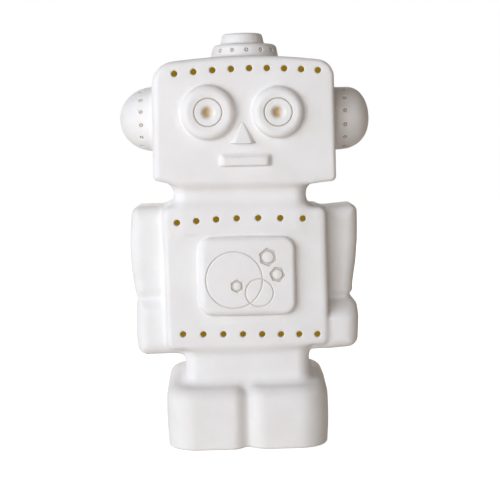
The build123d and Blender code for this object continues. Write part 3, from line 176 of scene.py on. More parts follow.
#                   centre,   radius,   face
SCRIBED_CIRCLES = (
    (EYES[0], EYE_LINE_RADIUS, HEAD_FRONT),
    (EYES[1], EYE_LINE_RADIUS, HEAD_FRONT),
    ((-8.6, 114.6), 19.0, TORSO_FRONT),
    ((8.2, 105.7), 9.3, TORSO_FRONT),
)
#               centre,      radius, turn in degrees
NUT_PRINTS = (((14.3, 129.6), 6.2, 8.0), ((20.5, 117.9), 5.3, 20.0), ((-6.7, 110.5), 4.5, 2.0))
PRINT_DEPTH, PRINT_FLAT, PRINT_EDGE = 1.0, 0.87, (0.3, -0.35)  # flat: face to centre, of the radius
PRINT_CORE, PRINT_CORE_EDGE, PRINT_DOME = 0.60, (0.86, 1.12), 0.35
PUNCH_RADIUS, PUNCH_WIDTH, PUNCH_DEPTH = 0.95, 0.44, 0.7
PUNCH_MIDDLE_WIDTH, PUNCH_MIDDLE_DEPTH = 0.6, 0.12
DIAL_SHADE, PUNCH_SHADE, PRINT_SHADE = 0.5, 0.9, 0.55  # how strong the painted shade in the marks is
LINE_SHADE_DEPTHS, PUNCH_SHADE_DEPTHS, PRINT_SHADE_DEPTHS = (0.2, 0.8), (0.1, 0.7), (0.2, 1.0)  # groove depths over which the painted shade comes in


class Row(NamedTuple):
    """A row of pierced holes: bowed, sloped and unevenly spaced between its end holes."""

    count: int
    first: float
    last: float
    height: float
    bow: float
    slope: float
    drift: float
    face: float


PIERCED_ROWS = (
    Row(9, first=-45.2, last=49.9, height=255.0, bow=2.4, slope=0.5, drift=2.1, face=HEAD_FRONT),
    Row(7, first=-46.0, last=38.4, height=155.6, bow=1.6, slope=1.1, drift=-2.1, face=TORSO_FRONT),
    Row(8, first=-43.8, last=47.0, height=76.9, bow=0.0, slope=-2.0, drift=1.6, face=TORSO_FRONT),
)
PIERCE_RADIUS, PIERCE_EDGE = 2.05, 0.9

LIGHT_Y, LIGHT_HOLE_RADIUS, LIGHT_HOLE_PAST = 6.5, 23.0, 3
BASE_PLATE_RADIUS, BASE_PLATE_TOP, BASE_PLATE_FILLET = 38.5, 19.0, 1.0
RECESS_RADIUS, RECESS_TOP = 34.3, 14.0
NOTCH_HALF, NOTCH_TOP = 6.5, 13.5
BASE_EDGE = 0.8

# between which heights the face, the panel and the marks are
EYES_BAND, MOUTH_BAND, PANEL_BAND = (205, 248), (188, 200), (88, 146)
PRINTS_BAND, EAR_MARKS_HEIGHTS, KNOB_MARKS_HEIGHTS = (90, 145), (200, 244), (262, 276)


# ------------ shaping clay: fields and blends
def blend(a, b, reach):
    """Joins two fields with a fillet that starts reach away from the joint."""
    overlap = np.maximum(reach - np.abs(a - b), 0) / reach
    return np.minimum(a, b) - overlap * overlap * reach / 4


def carve(a, b, reach):
    """Takes field b away from field a, and softens the edge it leaves."""
    return -blend(-a, b, reach)


def soft_edge(side, end, radius):
    """Where two faces meet, given the distance to each, with a round edge."""
    u, v = side + radius, end + radius
    return np.minimum(np.maximum(u, v), 0) + np.hypot(np.maximum(u, 0), np.maximum(v, 0)) - radius


def drafted(side, out, slope):
    """Distance to a side face that leans in by slope for each millimetre out."""
    return (side + slope * out) / np.hypot(1, slope)


def rectangle(u, v, half_u, half_v, corner):
    """Distance to a rectangle with round corners, centred on nought."""
    return soft_edge(np.abs(u) - half_u, np.abs(v) - half_v, corner)


def span(value, low, high):
    """Distance outside the slab from low to high."""
    return np.abs(value - (low + high) / 2) - (high - low) / 2


def ramp(value, low, high):
    """Smooth step from 0 at low to 1 at high."""
    t = np.clip((value - low) / (high - low), 0, 1)
    return t * t * (3 - 2 * t)


def reaches(z, low, high):
    """Whether the points at heights z come near the band from low to high."""
    return z.max() > low - NEAR and z.min() < high + NEAR


def by_side(x, values):
    """The left side's value for points on the left, the right side's for the others."""
    return np.where(x < 0, *values)


def row_points(row):
    """Centres (x, z) of a pierced row's holes."""
    along = np.linspace(0, 1, row.count)
    hump = np.sin(np.pi * along)
    x = row.first + (row.last - row.first) * along + row.drift * hump
    z = row.height + row.bow * (hump - 1) + row.slope * (along - 0.5)
    return np.stack([x, z], 1)


# ------------ the blocks of the figure
def head_block(x, y, z):
    """The head: its top falls and its underside rises towards the ends."""
    out = np.abs(x)
    crown = HEAD_CROWN_DROP * (out / HEAD_HALF) ** 2 * ramp(z, *HEAD_CROWN_HEIGHTS)
    chin = by_side(x, HEAD_CHIN_RISES) * ramp(out, *HEAD_CHIN_OUT) * ramp(z, *HEAD_CHIN_HEIGHTS)
    half = HEAD_HALF + (HEAD_TOP_HALF - HEAD_HALF) * ramp(z, HEAD_BOTTOM, HEAD_TOP)
    middle, half_height = (HEAD_TOP + HEAD_BOTTOM) / 2, (HEAD_TOP - HEAD_BOTTOM) / 2
    corner = np.where(z > middle, by_side(x, HEAD_TOP_CORNERS), HEAD_BOTTOM_CORNER)
    outline = rectangle(x, z + crown - chin - middle, half, half_height, corner)
    return soft_edge(outline, span(y, HEAD_FRONT, HEAD_BACK), HEAD_RIM - HEAD_RIM_CHANGE * x)


def ears(x, y, z):
    """Two domes on the head's ends."""
    up = z - by_side(x, EAR_HEIGHTS)
    radius, power = by_side(x, EAR_RADII), by_side(x, EAR_FULLNESS)
    start = by_side(x, EAR_STARTS) + by_side(x, EAR_LEANS) * up
    length = by_side(x, EAR_TIPS) - start
    past = np.maximum(np.abs(x) - start, 0) / length
    dome = (past**power + (np.hypot(y - EAR_Y, up) / radius) ** power) ** (1 / power)
    steep = np.hypot(1, (radius / length - 1) * np.clip(past / np.maximum(dome, 0.1), 0, 1))
    return np.maximum((dome - 1) * radius / steep, EAR_ROOT - np.abs(x))


def drafted_disc(x, y, z, radius, top_radius, bottom, top, edge):
    """Disc on the knob's axis whose side leans in from radius to top_radius."""
    slope = (radius - top_radius) / (top - bottom)
    side = drafted(np.hypot(x, y - KNOB_Y) - radius, z - bottom, slope)
    return soft_edge(side, span(z, bottom - KNOB_ROOT, top), edge)


def knob(x, y, z):
    """A ring with a cap on it."""
    ring = drafted_disc(
        x - RING_X, y, z, RING_RADIUS, RING_TOP_RADIUS, RING_BOTTOM, RING_TOP, RING_EDGE
    )
    cap = drafted_disc(x - CAP_X, y, z, CAP_RADIUS, CAP_TOP_RADIUS, RING_TOP, CAP_TOP, CAP_EDGE)
    return blend(ring, cap, CAP_FILLET)


def add_column(field, x, y, z, column):
    """Blends the neck or the waist into the field."""
    if not reaches(z, column.bottom, column.top):
        return field
    middle, half_depth = (column.front + column.back) / 2, (column.back - column.front) / 2
    plan = rectangle(x - column.x, y - middle, column.half, half_depth, COLUMN_CORNER)
    return blend(field, np.maximum(plan, span(z, column.bottom, column.top)), column.fillet)


def torso(x, y, z):
    """The body's block, a little askew."""
    lean = TORSO_LEAN * (z - TORSO_LEAN_ABOUT)
    hem = HEM_RISE * np.maximum(x, 0) * ramp(z, *HEM_HEIGHTS)
    shift = hem - SHOULDER_TILT * x * ramp(z, *SHOULDER_HEIGHTS)
    middle, half_height = (TORSO_TOP + TORSO_BOTTOM) / 2, (TORSO_TOP - TORSO_BOTTOM) / 2
    outline = rectangle(
        x - TORSO_X + lean, z - shift - middle, TORSO_HALF, half_height, TORSO_CORNER
    )
    return soft_edge(outline, span(y, TORSO_FRONT, TORSO_BACK), TORSO_RIM)


def arm(out, y, z, make):
    """A slightly bowed forearm, a nipped wrist and a rounded hand, rooted in the torso's side."""
    reach = np.interp(z, make.heights, make.reach)
    nip = make.wrist_nip * np.exp(-(((z - make.wrist) / NIP_SPREAD) ** 2))
    side = np.maximum(out - reach + nip, ARM_ROOT - out)
    forearm = soft_edge(side, span(z, make.wrist, make.top), FOREARM_END_EDGE)
    forearm = soft_edge(forearm, span(y, make.front, FOREARM_BACK), FOREARM_EDGE)
    palm = (make.palm_front - make.front + 1) * ramp(make.wrist - z, 0, PALM_SLOPE)
    hand = soft_edge(side, span(z, make.bottom, make.wrist), HAND_END_EDGE)
    hand = soft_edge(hand, span(y, make.front - 1 + palm, HAND_BACK), HAND_EDGE)
    return blend(forearm, hand, make.wrist_fillet)


def trunk(x, y, z):
    """The torso with its two arms."""
    rise = RIGHT_RISE * np.clip(x - RIGHT_RISE_FROM, 0, RIGHT_RISE_OVER)
    joined = blend(torso(x, y, z), arm(-x, y, z, LEFT_ARM), LEFT_ARM.joint_fillet)
    return blend(joined, arm(x, y, z - rise, RIGHT_ARM), RIGHT_ARM.joint_fillet)


def feet(x, y, z):
    """Two lobes side by side, joined but for a soft cleft in front and behind."""
    share = np.clip((z - FEET_BASE) / (FEET_TOP - FEET_BASE), 0, 1)
    bulge = FOOT_BULGE * np.sin(np.pi * share) - FOOT_DRAW_IN
    depth = (FEET_BACK - FEET_FRONT) / 2 - FOOT_BULGE + FOOT_DRAW_IN
    plan = rectangle(x - FEET_X, y, FEET_HALF / 2, depth - CLEFT_DEPTH, FEET_MIDDLE_CORNER)
    for side, inner_corner in zip((-1, 1), FOOT_INNER_CORNERS):
        outer = FEET_X + side * FEET_HALF
        centre, half = (outer + CLEFT_X) / 2, abs(outer - CLEFT_X) / 2
        corner = np.where(side * (x - centre) > 0, FOOT_OUTER_CORNER, inner_corner)
        lobe = rectangle(x - centre, y, half + bulge / 2, depth + bulge, corner)
        plan = blend(plan, lobe, CLEFT_FILLET)
    fall = FEET_TOP_FALL * np.minimum(y, 0) * ramp(z, *FEET_FALL_HEIGHTS)
    height = z - fall - (FEET_TOP + FEET_BASE) / 2
    edge = np.where(height > 0, FOOT_RIM, FOOT_BASE_RIM)
    return soft_edge(plan, np.abs(height) - (FEET_TOP - FEET_BASE) / 2, edge)


def clay(x, y, z):
    """The whole figure as solid clay, without its eyes, face, panel and holes."""
    field = FAR
    if reaches(z, HEAD_BOTTOM, CAP_TOP):
        head = blend(head_block(x, y, z), ears(x, y, z), EAR_FILLET)
        field = blend(head, knob(x, y, z), KNOB_FILLET)
    field = add_column(field, x, y, z, NECK)
    if reaches(z, TORSO_BOTTOM, TORSO_TOP):
        field = blend(field, trunk(x, y, z), TORSO_FILLET)
    field = add_column(field, x, y, z, WAIST)
    if reaches(z, FEET_BASE, FEET_TOP):
        field = blend(field, feet(x, y, z), FEET_FILLET)
    return field + hand_dents(x, y, z)


def hand_dents(x, y, z):
    """Shallow unevenness of a surface that was sponged by hand: two sets of crossed waves."""
    front = np.sin(x / 13.0 + 1.3 * np.sin(z / 31.0)) * np.sin(z / 17.0 + 0.8)
    side = np.sin(y / 9.0 + 0.6) * np.sin(z / 23.0 + x / 37.0 + 2.1)
    return (DENT_DEPTHS[0] * front + DENT_DEPTHS[1] * side) * ramp(z, FEET_BASE + 1, 14)


# ------------ face, panel and marks
def eye_cushions(x, y, z):
    """Two round cushions, each with a shallow dish in its front."""
    field = FAR
    for (ex, ez), outer in zip(EYES, EYE_RADII):
        radius = np.hypot(x - ex, z - ez)
        dish = EYE_DISH_DEPTH * (1 - np.minimum(radius / EYE_DISH_RADIUS, 1) ** 2)
        cushion = soft_edge(radius - outer, np.abs(y - HEAD_FRONT) - (EYE_STAND - dish), EYE_ROUND)
        field = np.minimum(field, cushion)
    return field


def pupil_cones(x, y, z):
    """The cones that are taken out of the eyes."""
    field = FAR
    lean = (PUPIL_RADIUS - PUPIL_FLOOR_RADIUS) / PUPIL_DEPTH
    for ex, ez in EYES:
        side = drafted(np.hypot(x - ex, z - ez) - PUPIL_RADIUS, y - PUPIL_FRONT, lean)
        field = np.minimum(field, soft_edge(side, y - PUPIL_FRONT - PUPIL_DEPTH, PUPIL_FLOOR_EDGE))
    return field


def nose(x, y, z):
    """Wedge with a sloping front: sharp at its top, standing out at its foot."""
    across, down, out = np.abs(x - NOSE_X), NOSE_TOP - z, HEAD_FRONT - y
    height, facet = NOSE_TOP - NOSE_BOTTOM, NOSE_HALF - NOSE_FLAT_HALF
    front = (out - NOSE_STAND * down / height) / np.hypot(1, NOSE_STAND / height)
    slant, splay = NOSE_FLAT_HALF / height + facet / height, facet / NOSE_STAND
    side = (across - slant * down + splay * out) / np.hypot(NOSE_SIDE_STEEPNESS, splay)
    facets = soft_edge(soft_edge(front, side, NOSE_EDGE), down - height, NOSE_FOOT_EDGE)
    return np.maximum(facets, -out - FACE_ROOT)


def mouth(x, y, z):
    """Bar with a wide bevel above and a facet at each end."""
    across, up, out = np.abs(x - MOUTH_X), z - MOUTH_Z, HEAD_FRONT - y
    ends = drafted(across - MOUTH_HALF, out, MOUTH_END_DRAFT)
    bevel = drafted(up - MOUTH_HALF_HEIGHT, out, MOUTH_TOP_DRAFT)
    below = drafted(-up - MOUTH_HALF_HEIGHT, out, MOUTH_FOOT_DRAFT)
    sides = soft_edge(np.maximum(bevel, below), ends, MOUTH_END_EDGE)
    return np.maximum(soft_edge(sides, out - MOUTH_STAND, MOUTH_EDGE), -out - FACE_ROOT)


def panel(x, y, z):
    """The chest's raised panel."""
    swell = PANEL_SWELL * (1 - ((x - PANEL_X) / PANEL_HALF) ** 2)
    half_height = PANEL_HALF_HEIGHT + swell - PANEL_SWELL_MEAN
    outline = rectangle(x - PANEL_X, z - PANEL_Z, PANEL_HALF, half_height, PANEL_CORNER)
    left, right = PANEL_RIMS
    rim = left + (right - left) * ramp(x - PANEL_X, *PANEL_RIM_PLACES)
    return soft_edge(outline, np.abs(y - TORSO_FRONT) - PANEL_STAND, rim)


def hexagon(x, z, centre, turn):
    """Distance from the centre of a hexagon to the face nearest to a point."""
    dx, dz = x - centre[0], z - centre[1]
    angles = np.radians(turn + np.array([0.0, 60.0, 120.0]))
    return np.max([np.abs(dx * np.cos(a) + dz * np.sin(a)) for a in angles], 0)


def scribed_lines(x, y, z):
    """Depth of the fine circles round the pupils and on the panel."""
    depth = 0.0 * (x + y + z)
    for (cx, cz), radius, face in SCRIBED_CIRCLES:
        if reaches(z, cz - radius, cz + radius):
            near = np.abs(np.hypot(x - cx, z - cz) - radius) / LINE_HALF_WIDTH
            line = LINE_DEPTH * np.exp(-near**2) * (y < face - MARK_STAND)
            depth = np.maximum(depth, line)
    return depth


def nut_prints(x, y, z):
    """Depth of the three hexagons: pressed round a low dome."""
    depth = 0.0
    if reaches(z, *PRINTS_BAND):
        for centre, radius, turn in NUT_PRINTS:
            outer, inner = (PRINT_FLAT * radius + edge for edge in PRINT_EDGE)
            core = np.hypot(x - centre[0], z - centre[1]) / (PRINT_CORE * radius)
            pressed = ramp(hexagon(x, z, centre, turn), outer, inner) * ramp(core, *PRINT_CORE_EDGE)
            shape = PRINT_DEPTH * pressed - PRINT_DOME * ramp(core, 1.0, 0.0)
            depth = depth + shape * (y < TORSO_FRONT - MARK_STAND)
    return depth


def mark_reach(angle, along, radius, count, phase):
    """Distance to the nearest of a ring of marks."""
    step = 2 * np.pi / count
    nearest = (angle - phase + step / 2) % step - step / 2
    return np.hypot(nearest * radius, along)


def ear_mark_reach(x, y, z):
    """Distance to the nearest of an ear's marks, and whether a point is on their ring."""
    up, radius = z - by_side(x, EAR_HEIGHTS), by_side(x, EAR_RADII)
    off_ring = np.abs(np.hypot(y - EAR_Y, up) - radius)
    on_ring = (np.abs(x) > EAR_MARKS_FROM) & (off_ring < EAR_MARKS_BAND)
    angle, along = np.arctan2(up, y - EAR_Y), np.abs(x) - EAR_MARK_X
    return mark_reach(angle, along, radius, EAR_MARKS, EAR_MARK_PHASE), on_ring


def knob_mark_reach(x, y, z):
    """Distance to the nearest of the knob's marks, and whether a point is on their ring."""
    angle, along = np.arctan2(y - KNOB_Y, x - RING_X), z - KNOB_MARK_Z
    far_out = np.hypot(x - RING_X, y - KNOB_Y) > KNOB_MARKS_FROM
    reach = mark_reach(angle, along, KNOB_MARK_RADIUS, KNOB_MARKS, KNOB_MARK_PHASE)
    return reach, far_out & (z > KNOB_MARKS_ABOVE)


def punch_depth(reach):
    """A punched mark: a round groove about a middle that is hardly pressed in."""
    groove = PUNCH_DEPTH * np.exp(-(((reach - PUNCH_RADIUS) / PUNCH_WIDTH) ** 2))
    return groove + PUNCH_MIDDLE_DEPTH * np.exp(-((reach / PUNCH_MIDDLE_WIDTH) ** 2))


def punched_rings(x, y, z):
    """Depth of the marks on the ears and the knob."""
    depth = 0.0
    rings = ((EAR_MARKS_HEIGHTS, ear_mark_reach), (KNOB_MARKS_HEIGHTS, knob_mark_reach))
    for heights, ring in rings:
        if reaches(z, *heights):
            reach, on_ring = ring(x, y, z)
            depth = depth + punch_depth(reach) * on_ring
    return depth


def shade_in_marks(x, y, z):
    """How much painted shade goes into the marks, growing with their depth: most in the lines round
    the pupils.
    """
    shade_strength = np.where(z < NOSE_BOTTOM, DIAL_SHADE, 1.0)
    lines = ramp(scribed_lines(x, y, z), *LINE_SHADE_DEPTHS) * shade_strength
    rings = PUNCH_SHADE * ramp(punched_rings(x, y, z), *PUNCH_SHADE_DEPTHS)
    prints = PRINT_SHADE * ramp(nut_prints(x, y, z), *PRINT_SHADE_DEPTHS)
    return np.maximum(np.maximum(lines, rings), prints)


def pierced_holes(x, y, z):
    """The rods that pierce the front's wall."""
    field = FAR
    for row in PIERCED_ROWS:
        points = row_points(row)
        if reaches(z, points[:, 1].min() - 3, points[:, 1].max() + 3):
            radius = np.min([np.hypot(x - px, z - pz) for px, pz in points], 0)
            rods = np.maximum(radius - PIERCE_RADIUS, y - row.face - 3 * WALL)
            field = np.minimum(field, rods)
    return field


# ------------ the finished figure
def fitted_base(field, x, y, z):
    """Puts in the base's plate, with the light's recess and hole and the notch for its cable."""
    from_light = np.hypot(x, y - LIGHT_Y)
    plate = np.maximum(from_light - BASE_PLATE_RADIUS, span(z, FEET_BASE, BASE_PLATE_TOP))
    recess = np.maximum(from_light - RECESS_RADIUS, z - RECESS_TOP)
    hole = np.maximum(from_light - LIGHT_HOLE_RADIUS, z - BASE_PLATE_TOP - LIGHT_HOLE_PAST)
    arch = np.minimum(NOTCH_TOP - NOTCH_HALF - z, 0)
    notch = np.maximum(np.hypot(x, arch) - NOTCH_HALF, LIGHT_Y + RECESS_RADIUS / 2 - y)
    openings = np.minimum(np.minimum(recess, hole), notch)
    return carve(blend(field, plate, BASE_PLATE_FILLET), openings, BASE_EDGE)


def figure(x, y, z, fine=True):
    """Field of the fired figure: a wall of even thickness with everything cut into it."""
    solid = clay(x, y, z)
    eyes = reaches(z, *EYES_BAND)
    if eyes:
        solid = blend(solid, eye_cushions(x, y, z), EYE_FILLET)
    hollow = solid + WALL
    if eyes:
        solid = np.minimum(solid, nose(x, y, z))
    if reaches(z, *MOUTH_BAND):
        solid = blend(solid, mouth(x, y, z), MOUTH_FILLET)
    if reaches(z, *PANEL_BAND):
        solid = blend(solid, panel(x, y, z), PANEL_FILLET)
    if fine:
        solid = solid + scribed_lines(x, y, z) + nut_prints(x, y, z) + punched_rings(x, y, z)
    field = np.maximum(solid, -hollow)
    if eyes:
        field = carve(field, pupil_cones(x, y, z), PUPIL_RIM)
    field = carve(field, pierced_holes(x, y, z), PIERCE_EDGE)
    if reaches(z, 0, BASE_PLATE_TOP):
        field = fitted_base(field, x, y, z)
    return field


# ------------ from field to mesh
#                 cell, rounds, finest side, slack from the surface
FULL_DETAIL = (1.2, 5, 0.445, 0.095)
GRID_LOW, GRID_HIGH = (-90.0, -52.0, -1.0), (91.0, 52.0, 283.0)
FLATTENING = 0.25  # how far the first mesh may merge cells where the surface is flat
THREADS, POINTS_AT_ONCE, LAYERS_AT_ONCE = 4, 20000, 8
RAISED_FRONT = -36.5  # what is in front of this is an eye or the panel
SIDES = [[0, 1], [1, 2], [2, 0]]


def in_slabs(work, count, size):
    """Runs work(start, stop) for slabs of the range, a few at a time."""
    with ThreadPoolExecutor(THREADS) as pool:
        starts = range(0, count, size)
        list(pool.map(lambda start: work(start, min(start + size, count)), starts))


def at_points(points, field=figure):
    """A field at an array of points."""
    order = np.argsort(points[:, 2])
    values = np.empty(len(points), np.float32)

    def work(start, stop):
        chosen = order[start:stop]
        x, y, z = points[chosen].T
        values[chosen] = field(x, y, z)

    in_slabs(work, len(points), POINTS_AT_ONCE)
    return values


def slope_at(points, step=0.06):
    """The field's gradient at an array of points."""
    slope = np.empty_like(points)
    for axis in range(3):
        shift = np.zeros(3, points.dtype)
        shift[axis] = step
        slope[:, axis] = (at_points(points + shift) - at_points(points - shift)) / (2 * step)
    return slope


def settle(points, furthest, rounds=3, least_steep=0.25, longest_step=0.6):
    """Moves points onto the surface along the field's slope, but no further than that."""
    start = points.astype(np.float32)
    points = start
    for _ in range(rounds):
        value, slope = at_points(points), slope_at(points)
        steep = np.maximum((slope**2).sum(1), least_steep)
        points = points - slope * np.clip(value / steep, -longest_step, longest_step)[:, None]
    moved = np.linalg.norm(points - start, axis=1)
    return start + (points - start) * np.minimum(furthest / np.maximum(moved, 1e-6), 1)[:, None]


def first_mesh(cell):
    """Points and triangles of the figure without its fine marks, on a grid of such cubes."""
    low, high = np.array(GRID_LOW), np.array(GRID_HIGH)
    counts = np.ceil((high - low) / cell).astype(int)
    axes = [(low[i] + cell * np.arange(counts[i])).astype(np.float32) for i in range(3)]
    field = np.empty(counts, np.float32)
    band = 3 * cell

    def work(start, stop):
        x, y, z = axes[0][:, None, None], axes[1][None, :, None], axes[2][None, None, start:stop]
        field[:, :, start:stop] = np.clip(figure(x, y, z, fine=False), -band, band)

    in_slabs(work, counts[2], LAYERS_AT_ONCE)
    grid = openvdb.FloatGrid(band)
    grid.copyFromArray(field, ijk=(0, 0, 0), tolerance=0.0)
    grid.gridClass = openvdb.GridClass.LEVEL_SET
    points, triangles, quads = grid.convertToPolygons(isovalue=0.0, adaptivity=FLATTENING)
    quads = quads.astype(np.int64)
    halves = np.concatenate([quads[:, [0, 1, 2]], quads[:, [0, 2, 3]]])
    triangles = np.concatenate([triangles.astype(np.int64), halves])
    return points * cell + low.astype(np.float32), triangles


# how a triangle (corners 0-2, midpoints 3-5 of sides 01, 12, 20) is cut, by which sides are
CUTS = {
    0: ((0, 1, 2),),
    1: ((0, 3, 2), (3, 1, 2)),
    2: ((0, 1, 4), (0, 4, 2)),
    4: ((0, 1, 5), (5, 1, 2)),
    3: ((3, 1, 4), (0, 3, 4), (0, 4, 2)),
    6: ((5, 4, 2), (0, 1, 4), (0, 4, 5)),
    5: ((0, 3, 5), (3, 1, 2), (3, 2, 5)),
    7: ((0, 3, 5), (3, 1, 4), (5, 4, 2), (3, 4, 5)),
}


def refine(points, triangles, finest, slack):
    """Cuts the sides that are long for how near a mark is, or whose middle is off the surface."""
    fine_zone, growth, shortest, deepest, furthest = 0.6, 0.8, 1.6 * finest, 0.35 * WALL, 0.35
    sides = np.sort(triangles[:, SIDES], axis=2).reshape(-1, 2)
    keys = sides[:, 0] * len(points) + sides[:, 1]
    keys, which = np.unique(keys, return_inverse=True)
    edges = np.stack([keys // len(points), keys % len(points)], 1)
    middles = points[edges].mean(1)
    length = np.linalg.norm(points[edges[:, 0]] - points[edges[:, 1]], axis=1)
    cut = length > finest + growth * np.maximum(near_marks(middles) - fine_zone, 0)
    cut |= (np.abs(at_points(middles)) > slack) & (length > shortest)
    cut &= at_points(middles, clay) > -deepest
    number = np.cumsum(cut) - 1 + len(points)
    which = which.reshape(-1, 3)
    pattern = (cut[which] * np.array([1, 2, 4])).sum(1)
    corners = np.concatenate([triangles, number[which]], axis=1)
    pieces = [corners[pattern == p][:, list(new)] for p, cuts in CUTS.items() for new in cuts]
    added = settle(middles[cut], furthest * length[cut])
    return np.concatenate([points, added]), np.concatenate(pieces)


def near_marks(points):
    """Distance from each point to the nearest fine mark or pierced hole."""
    x, y, z = points.T
    front, raised = y < HEAD_FRONT + 9, y < RAISED_FRONT
    found = []
    for (cx, cz), radius, _ in SCRIBED_CIRCLES:
        found.append((raised, np.abs(np.hypot(x - cx, z - cz) - radius)))
    for (cx, cz), radius, _ in NUT_PRINTS:
        found.append((raised, np.maximum(np.hypot(x - cx, z - cz) - radius, 0)))
    for reach, on_ring in (ear_mark_reach(x, y, z), knob_mark_reach(x, y, z)):
        found.append((on_ring, np.maximum(reach - 1.3, 0)))
    above = np.abs(z - (NOSE_TOP + NOSE_BOTTOM) / 2) - 8
    beside = np.maximum(np.abs(x - NOSE_X) - NOSE_HALF, above)
    found.append((front, np.maximum(beside, 0) + 1.0))
    for row in PIERCED_ROWS:
        for px, pz in row_points(row):
            rim = np.abs(np.hypot(x - px, z - pz) - PIERCE_RADIUS) + 0.5
            found.append((y < row.face + 6, rim))
    distance = np.full(len(points), FAR, np.float32)
    for where, reach in found:
        distance = np.where(where, np.minimum(distance, reach), distance)
    return distance


def unit(vectors):
    return vectors / np.maximum(np.linalg.norm(vectors, axis=1), 1e-6)[:, None]


def facing(points, triangles):
    """Which way each triangle faces; nought for one with no area."""
    a, b, c = (points[triangles[:, i]] for i in range(3))
    return unit(np.cross(b - a, c - a))


def relax(points, triangles, normals, rounds=10, furthest=0.5):
    """Evens out, away from the fine marks, triangles that came out thin and turned over."""
    for _ in range(rounds):
        lean = (facing(points, triangles)[:, None] * normals[triangles]).sum(2).min(1)
        loose = np.unique(triangles[lean < 0.5])
        loose = loose[near_marks(points[loose]) > 1]
        around = triangles[np.isin(triangles, loose).any(1)]
        both_ways = SIDES + [side[::-1] for side in SIDES]
        here, there = around[:, both_ways].reshape(-1, 2).T
        count = np.bincount(here, minlength=len(points))[loose]
        total = [np.bincount(here, points[there, i], len(points))[loose] for i in range(3)]
        points[loose] = settle(np.stack(total, 1) / count[:, None], furthest)
        normals[loose] = unit(slope_at(points[loose]))


def figure_mesh():
    """Points, triangles and normals of the figure, in millimetres."""
    cell, rounds, finest, slack = FULL_DETAIL
    points, triangles = first_mesh(cell)
    points = settle(points, furthest=0.8)
    for _ in range(rounds):
        points, triangles = refine(points, triangles, finest, slack)
    normals = unit(slope_at(points))
    if (facing(points, triangles) * normals[triangles[:, 0]]).sum() < 0:
        triangles = triangles[:, ::-1]
    relax(points, triangles, normals)
    has_area = np.linalg.norm(facing(points, triangles), axis=1) > 0.5
    return points, triangles[has_area], normals


def mesh_object(name, points, triangles, normals):
    mesh = bpy.data.meshes.new(name)
    mesh.vertices.add(len(points))
    mesh.vertices.foreach_set("co", (points * MM).astype(np.float32).ravel())
    mesh.loops.add(3 * len(triangles))
    mesh.loops.foreach_set("vertex_index", triangles.astype(np.int32).ravel())
    mesh.polygons.add(len(triangles))
    mesh.polygons.foreach_set("loop_start", np.arange(0, 3 * len(triangles), 3, dtype=np.int32))
    mesh.polygons.foreach_set("use_smooth", np.ones(len(triangles), bool))
    mesh.update(calc_edges=True)
    mesh.validate()
    mesh.normals_split_custom_set_from_vertices(normals)
    made = bpy.data.objects.new(name, mesh)
    bpy.context.scene.collection.objects.link(made)
    return made


# ------------ finishes: shared effects
def linear(red, green, blue):
    """Colour as it looks on a screen, 0 to 255, as light."""
    share = np.array([red, green, blue]) / 255.0
    light = np.where(share <= 0.04045, share / 12.92, ((share + 0.055) / 1.055) ** 2.4)
    return (*light.tolist(), 1.0)


SOCKETS = {1: "NodeSocketFloat", 3: "NodeSocketVector", 4: "NodeSocketColor"}  # by how many numbers


def new_group(name, outputs, **inputs):
    """An effect that is given a place on the surface and these inputs."""
    group = bpy.data.node_groups.new(name, "ShaderNodeTree")
    group.interface.new_socket("Place", in_out="INPUT", socket_type=SOCKETS[3])
    for label, value in inputs.items():
        kind = SOCKETS[np.size(value)]
        group.interface.new_socket(label, in_out="INPUT", socket_type=kind).default_value = value
    for label, size in outputs.items():
        group.interface.new_socket(label, in_out="OUTPUT", socket_type=SOCKETS[size])
    return group, group.nodes.new("NodeGroupInput"), group.nodes.new("NodeGroupOutput")


def add_node(tree, kind, **settings):
    node = tree.nodes.new(kind)
    for name, value in settings.items():
        if name in node.inputs:
            node.inputs[name].default_value = value
        else:
            setattr(node, name, value)
    return node


def join(tree, *pairs):
    """Links each output to its input."""
    for output, given in pairs:
        tree.links.new(output, given)


def mottle_group():
    """Two tones that drift into each other over the surface."""
    light, dark = (1, 1, 1, 1), (0.8, 0.8, 0.8, 1)
    group, given, result = new_group("tone_drift", {"Tone": 4}, Size=60.0, Light=light, Dark=dark)
    noise = add_node(group, "ShaderNodeTexNoise", Detail=4.0, Roughness=0.55)
    edges = {"From Min": 0.3, "From Max": 0.7}
    spread = add_node(group, "ShaderNodeMapRange", interpolation_type="SMOOTHSTEP", **edges)
    mix = add_node(group, "ShaderNodeMix", data_type="RGBA")
    join(
        group,
        (given.outputs["Place"], noise.inputs["Vector"]),
        (given.outputs["Size"], noise.inputs["Scale"]),
        (noise.outputs["Fac"], spread.inputs["Value"]),
        (spread.outputs["Result"], mix.inputs["Factor"]),
        (given.outputs["Light"], mix.inputs[6]),
        (given.outputs["Dark"], mix.inputs[7]),
        (mix.outputs[2], result.inputs["Tone"]),
    )
    return group


def grain_group():
    """Fine relief: broad sponge marks under a tight grain."""
    sizes = {"Broad": 120.0, "Tight": 1400.0}
    group, given, result = new_group("fine_relief", {"Height": 1}, **sizes, Share=0.5)
    broad = add_node(group, "ShaderNodeTexNoise", Detail=3.0, Roughness=0.5)
    tight = add_node(group, "ShaderNodeTexNoise", Detail=5.0, Roughness=0.65)
    mix = add_node(group, "ShaderNodeMix", data_type="FLOAT")
    for noise, name in ((broad, "Broad"), (tight, "Tight")):
        join(
            group,
            (given.outputs["Place"], noise.inputs["Vector"]),
            (given.outputs[name], noise.inputs["Scale"]),
        )
    join(
        group,
        (given.outputs["Share"], mix.inputs["Factor"]),
        (broad.outputs["Fac"], mix.inputs[2]),
        (tight.outputs["Fac"], mix.inputs[3]),
        (mix.outputs[0], result.inputs["Height"]),
    )
    return group


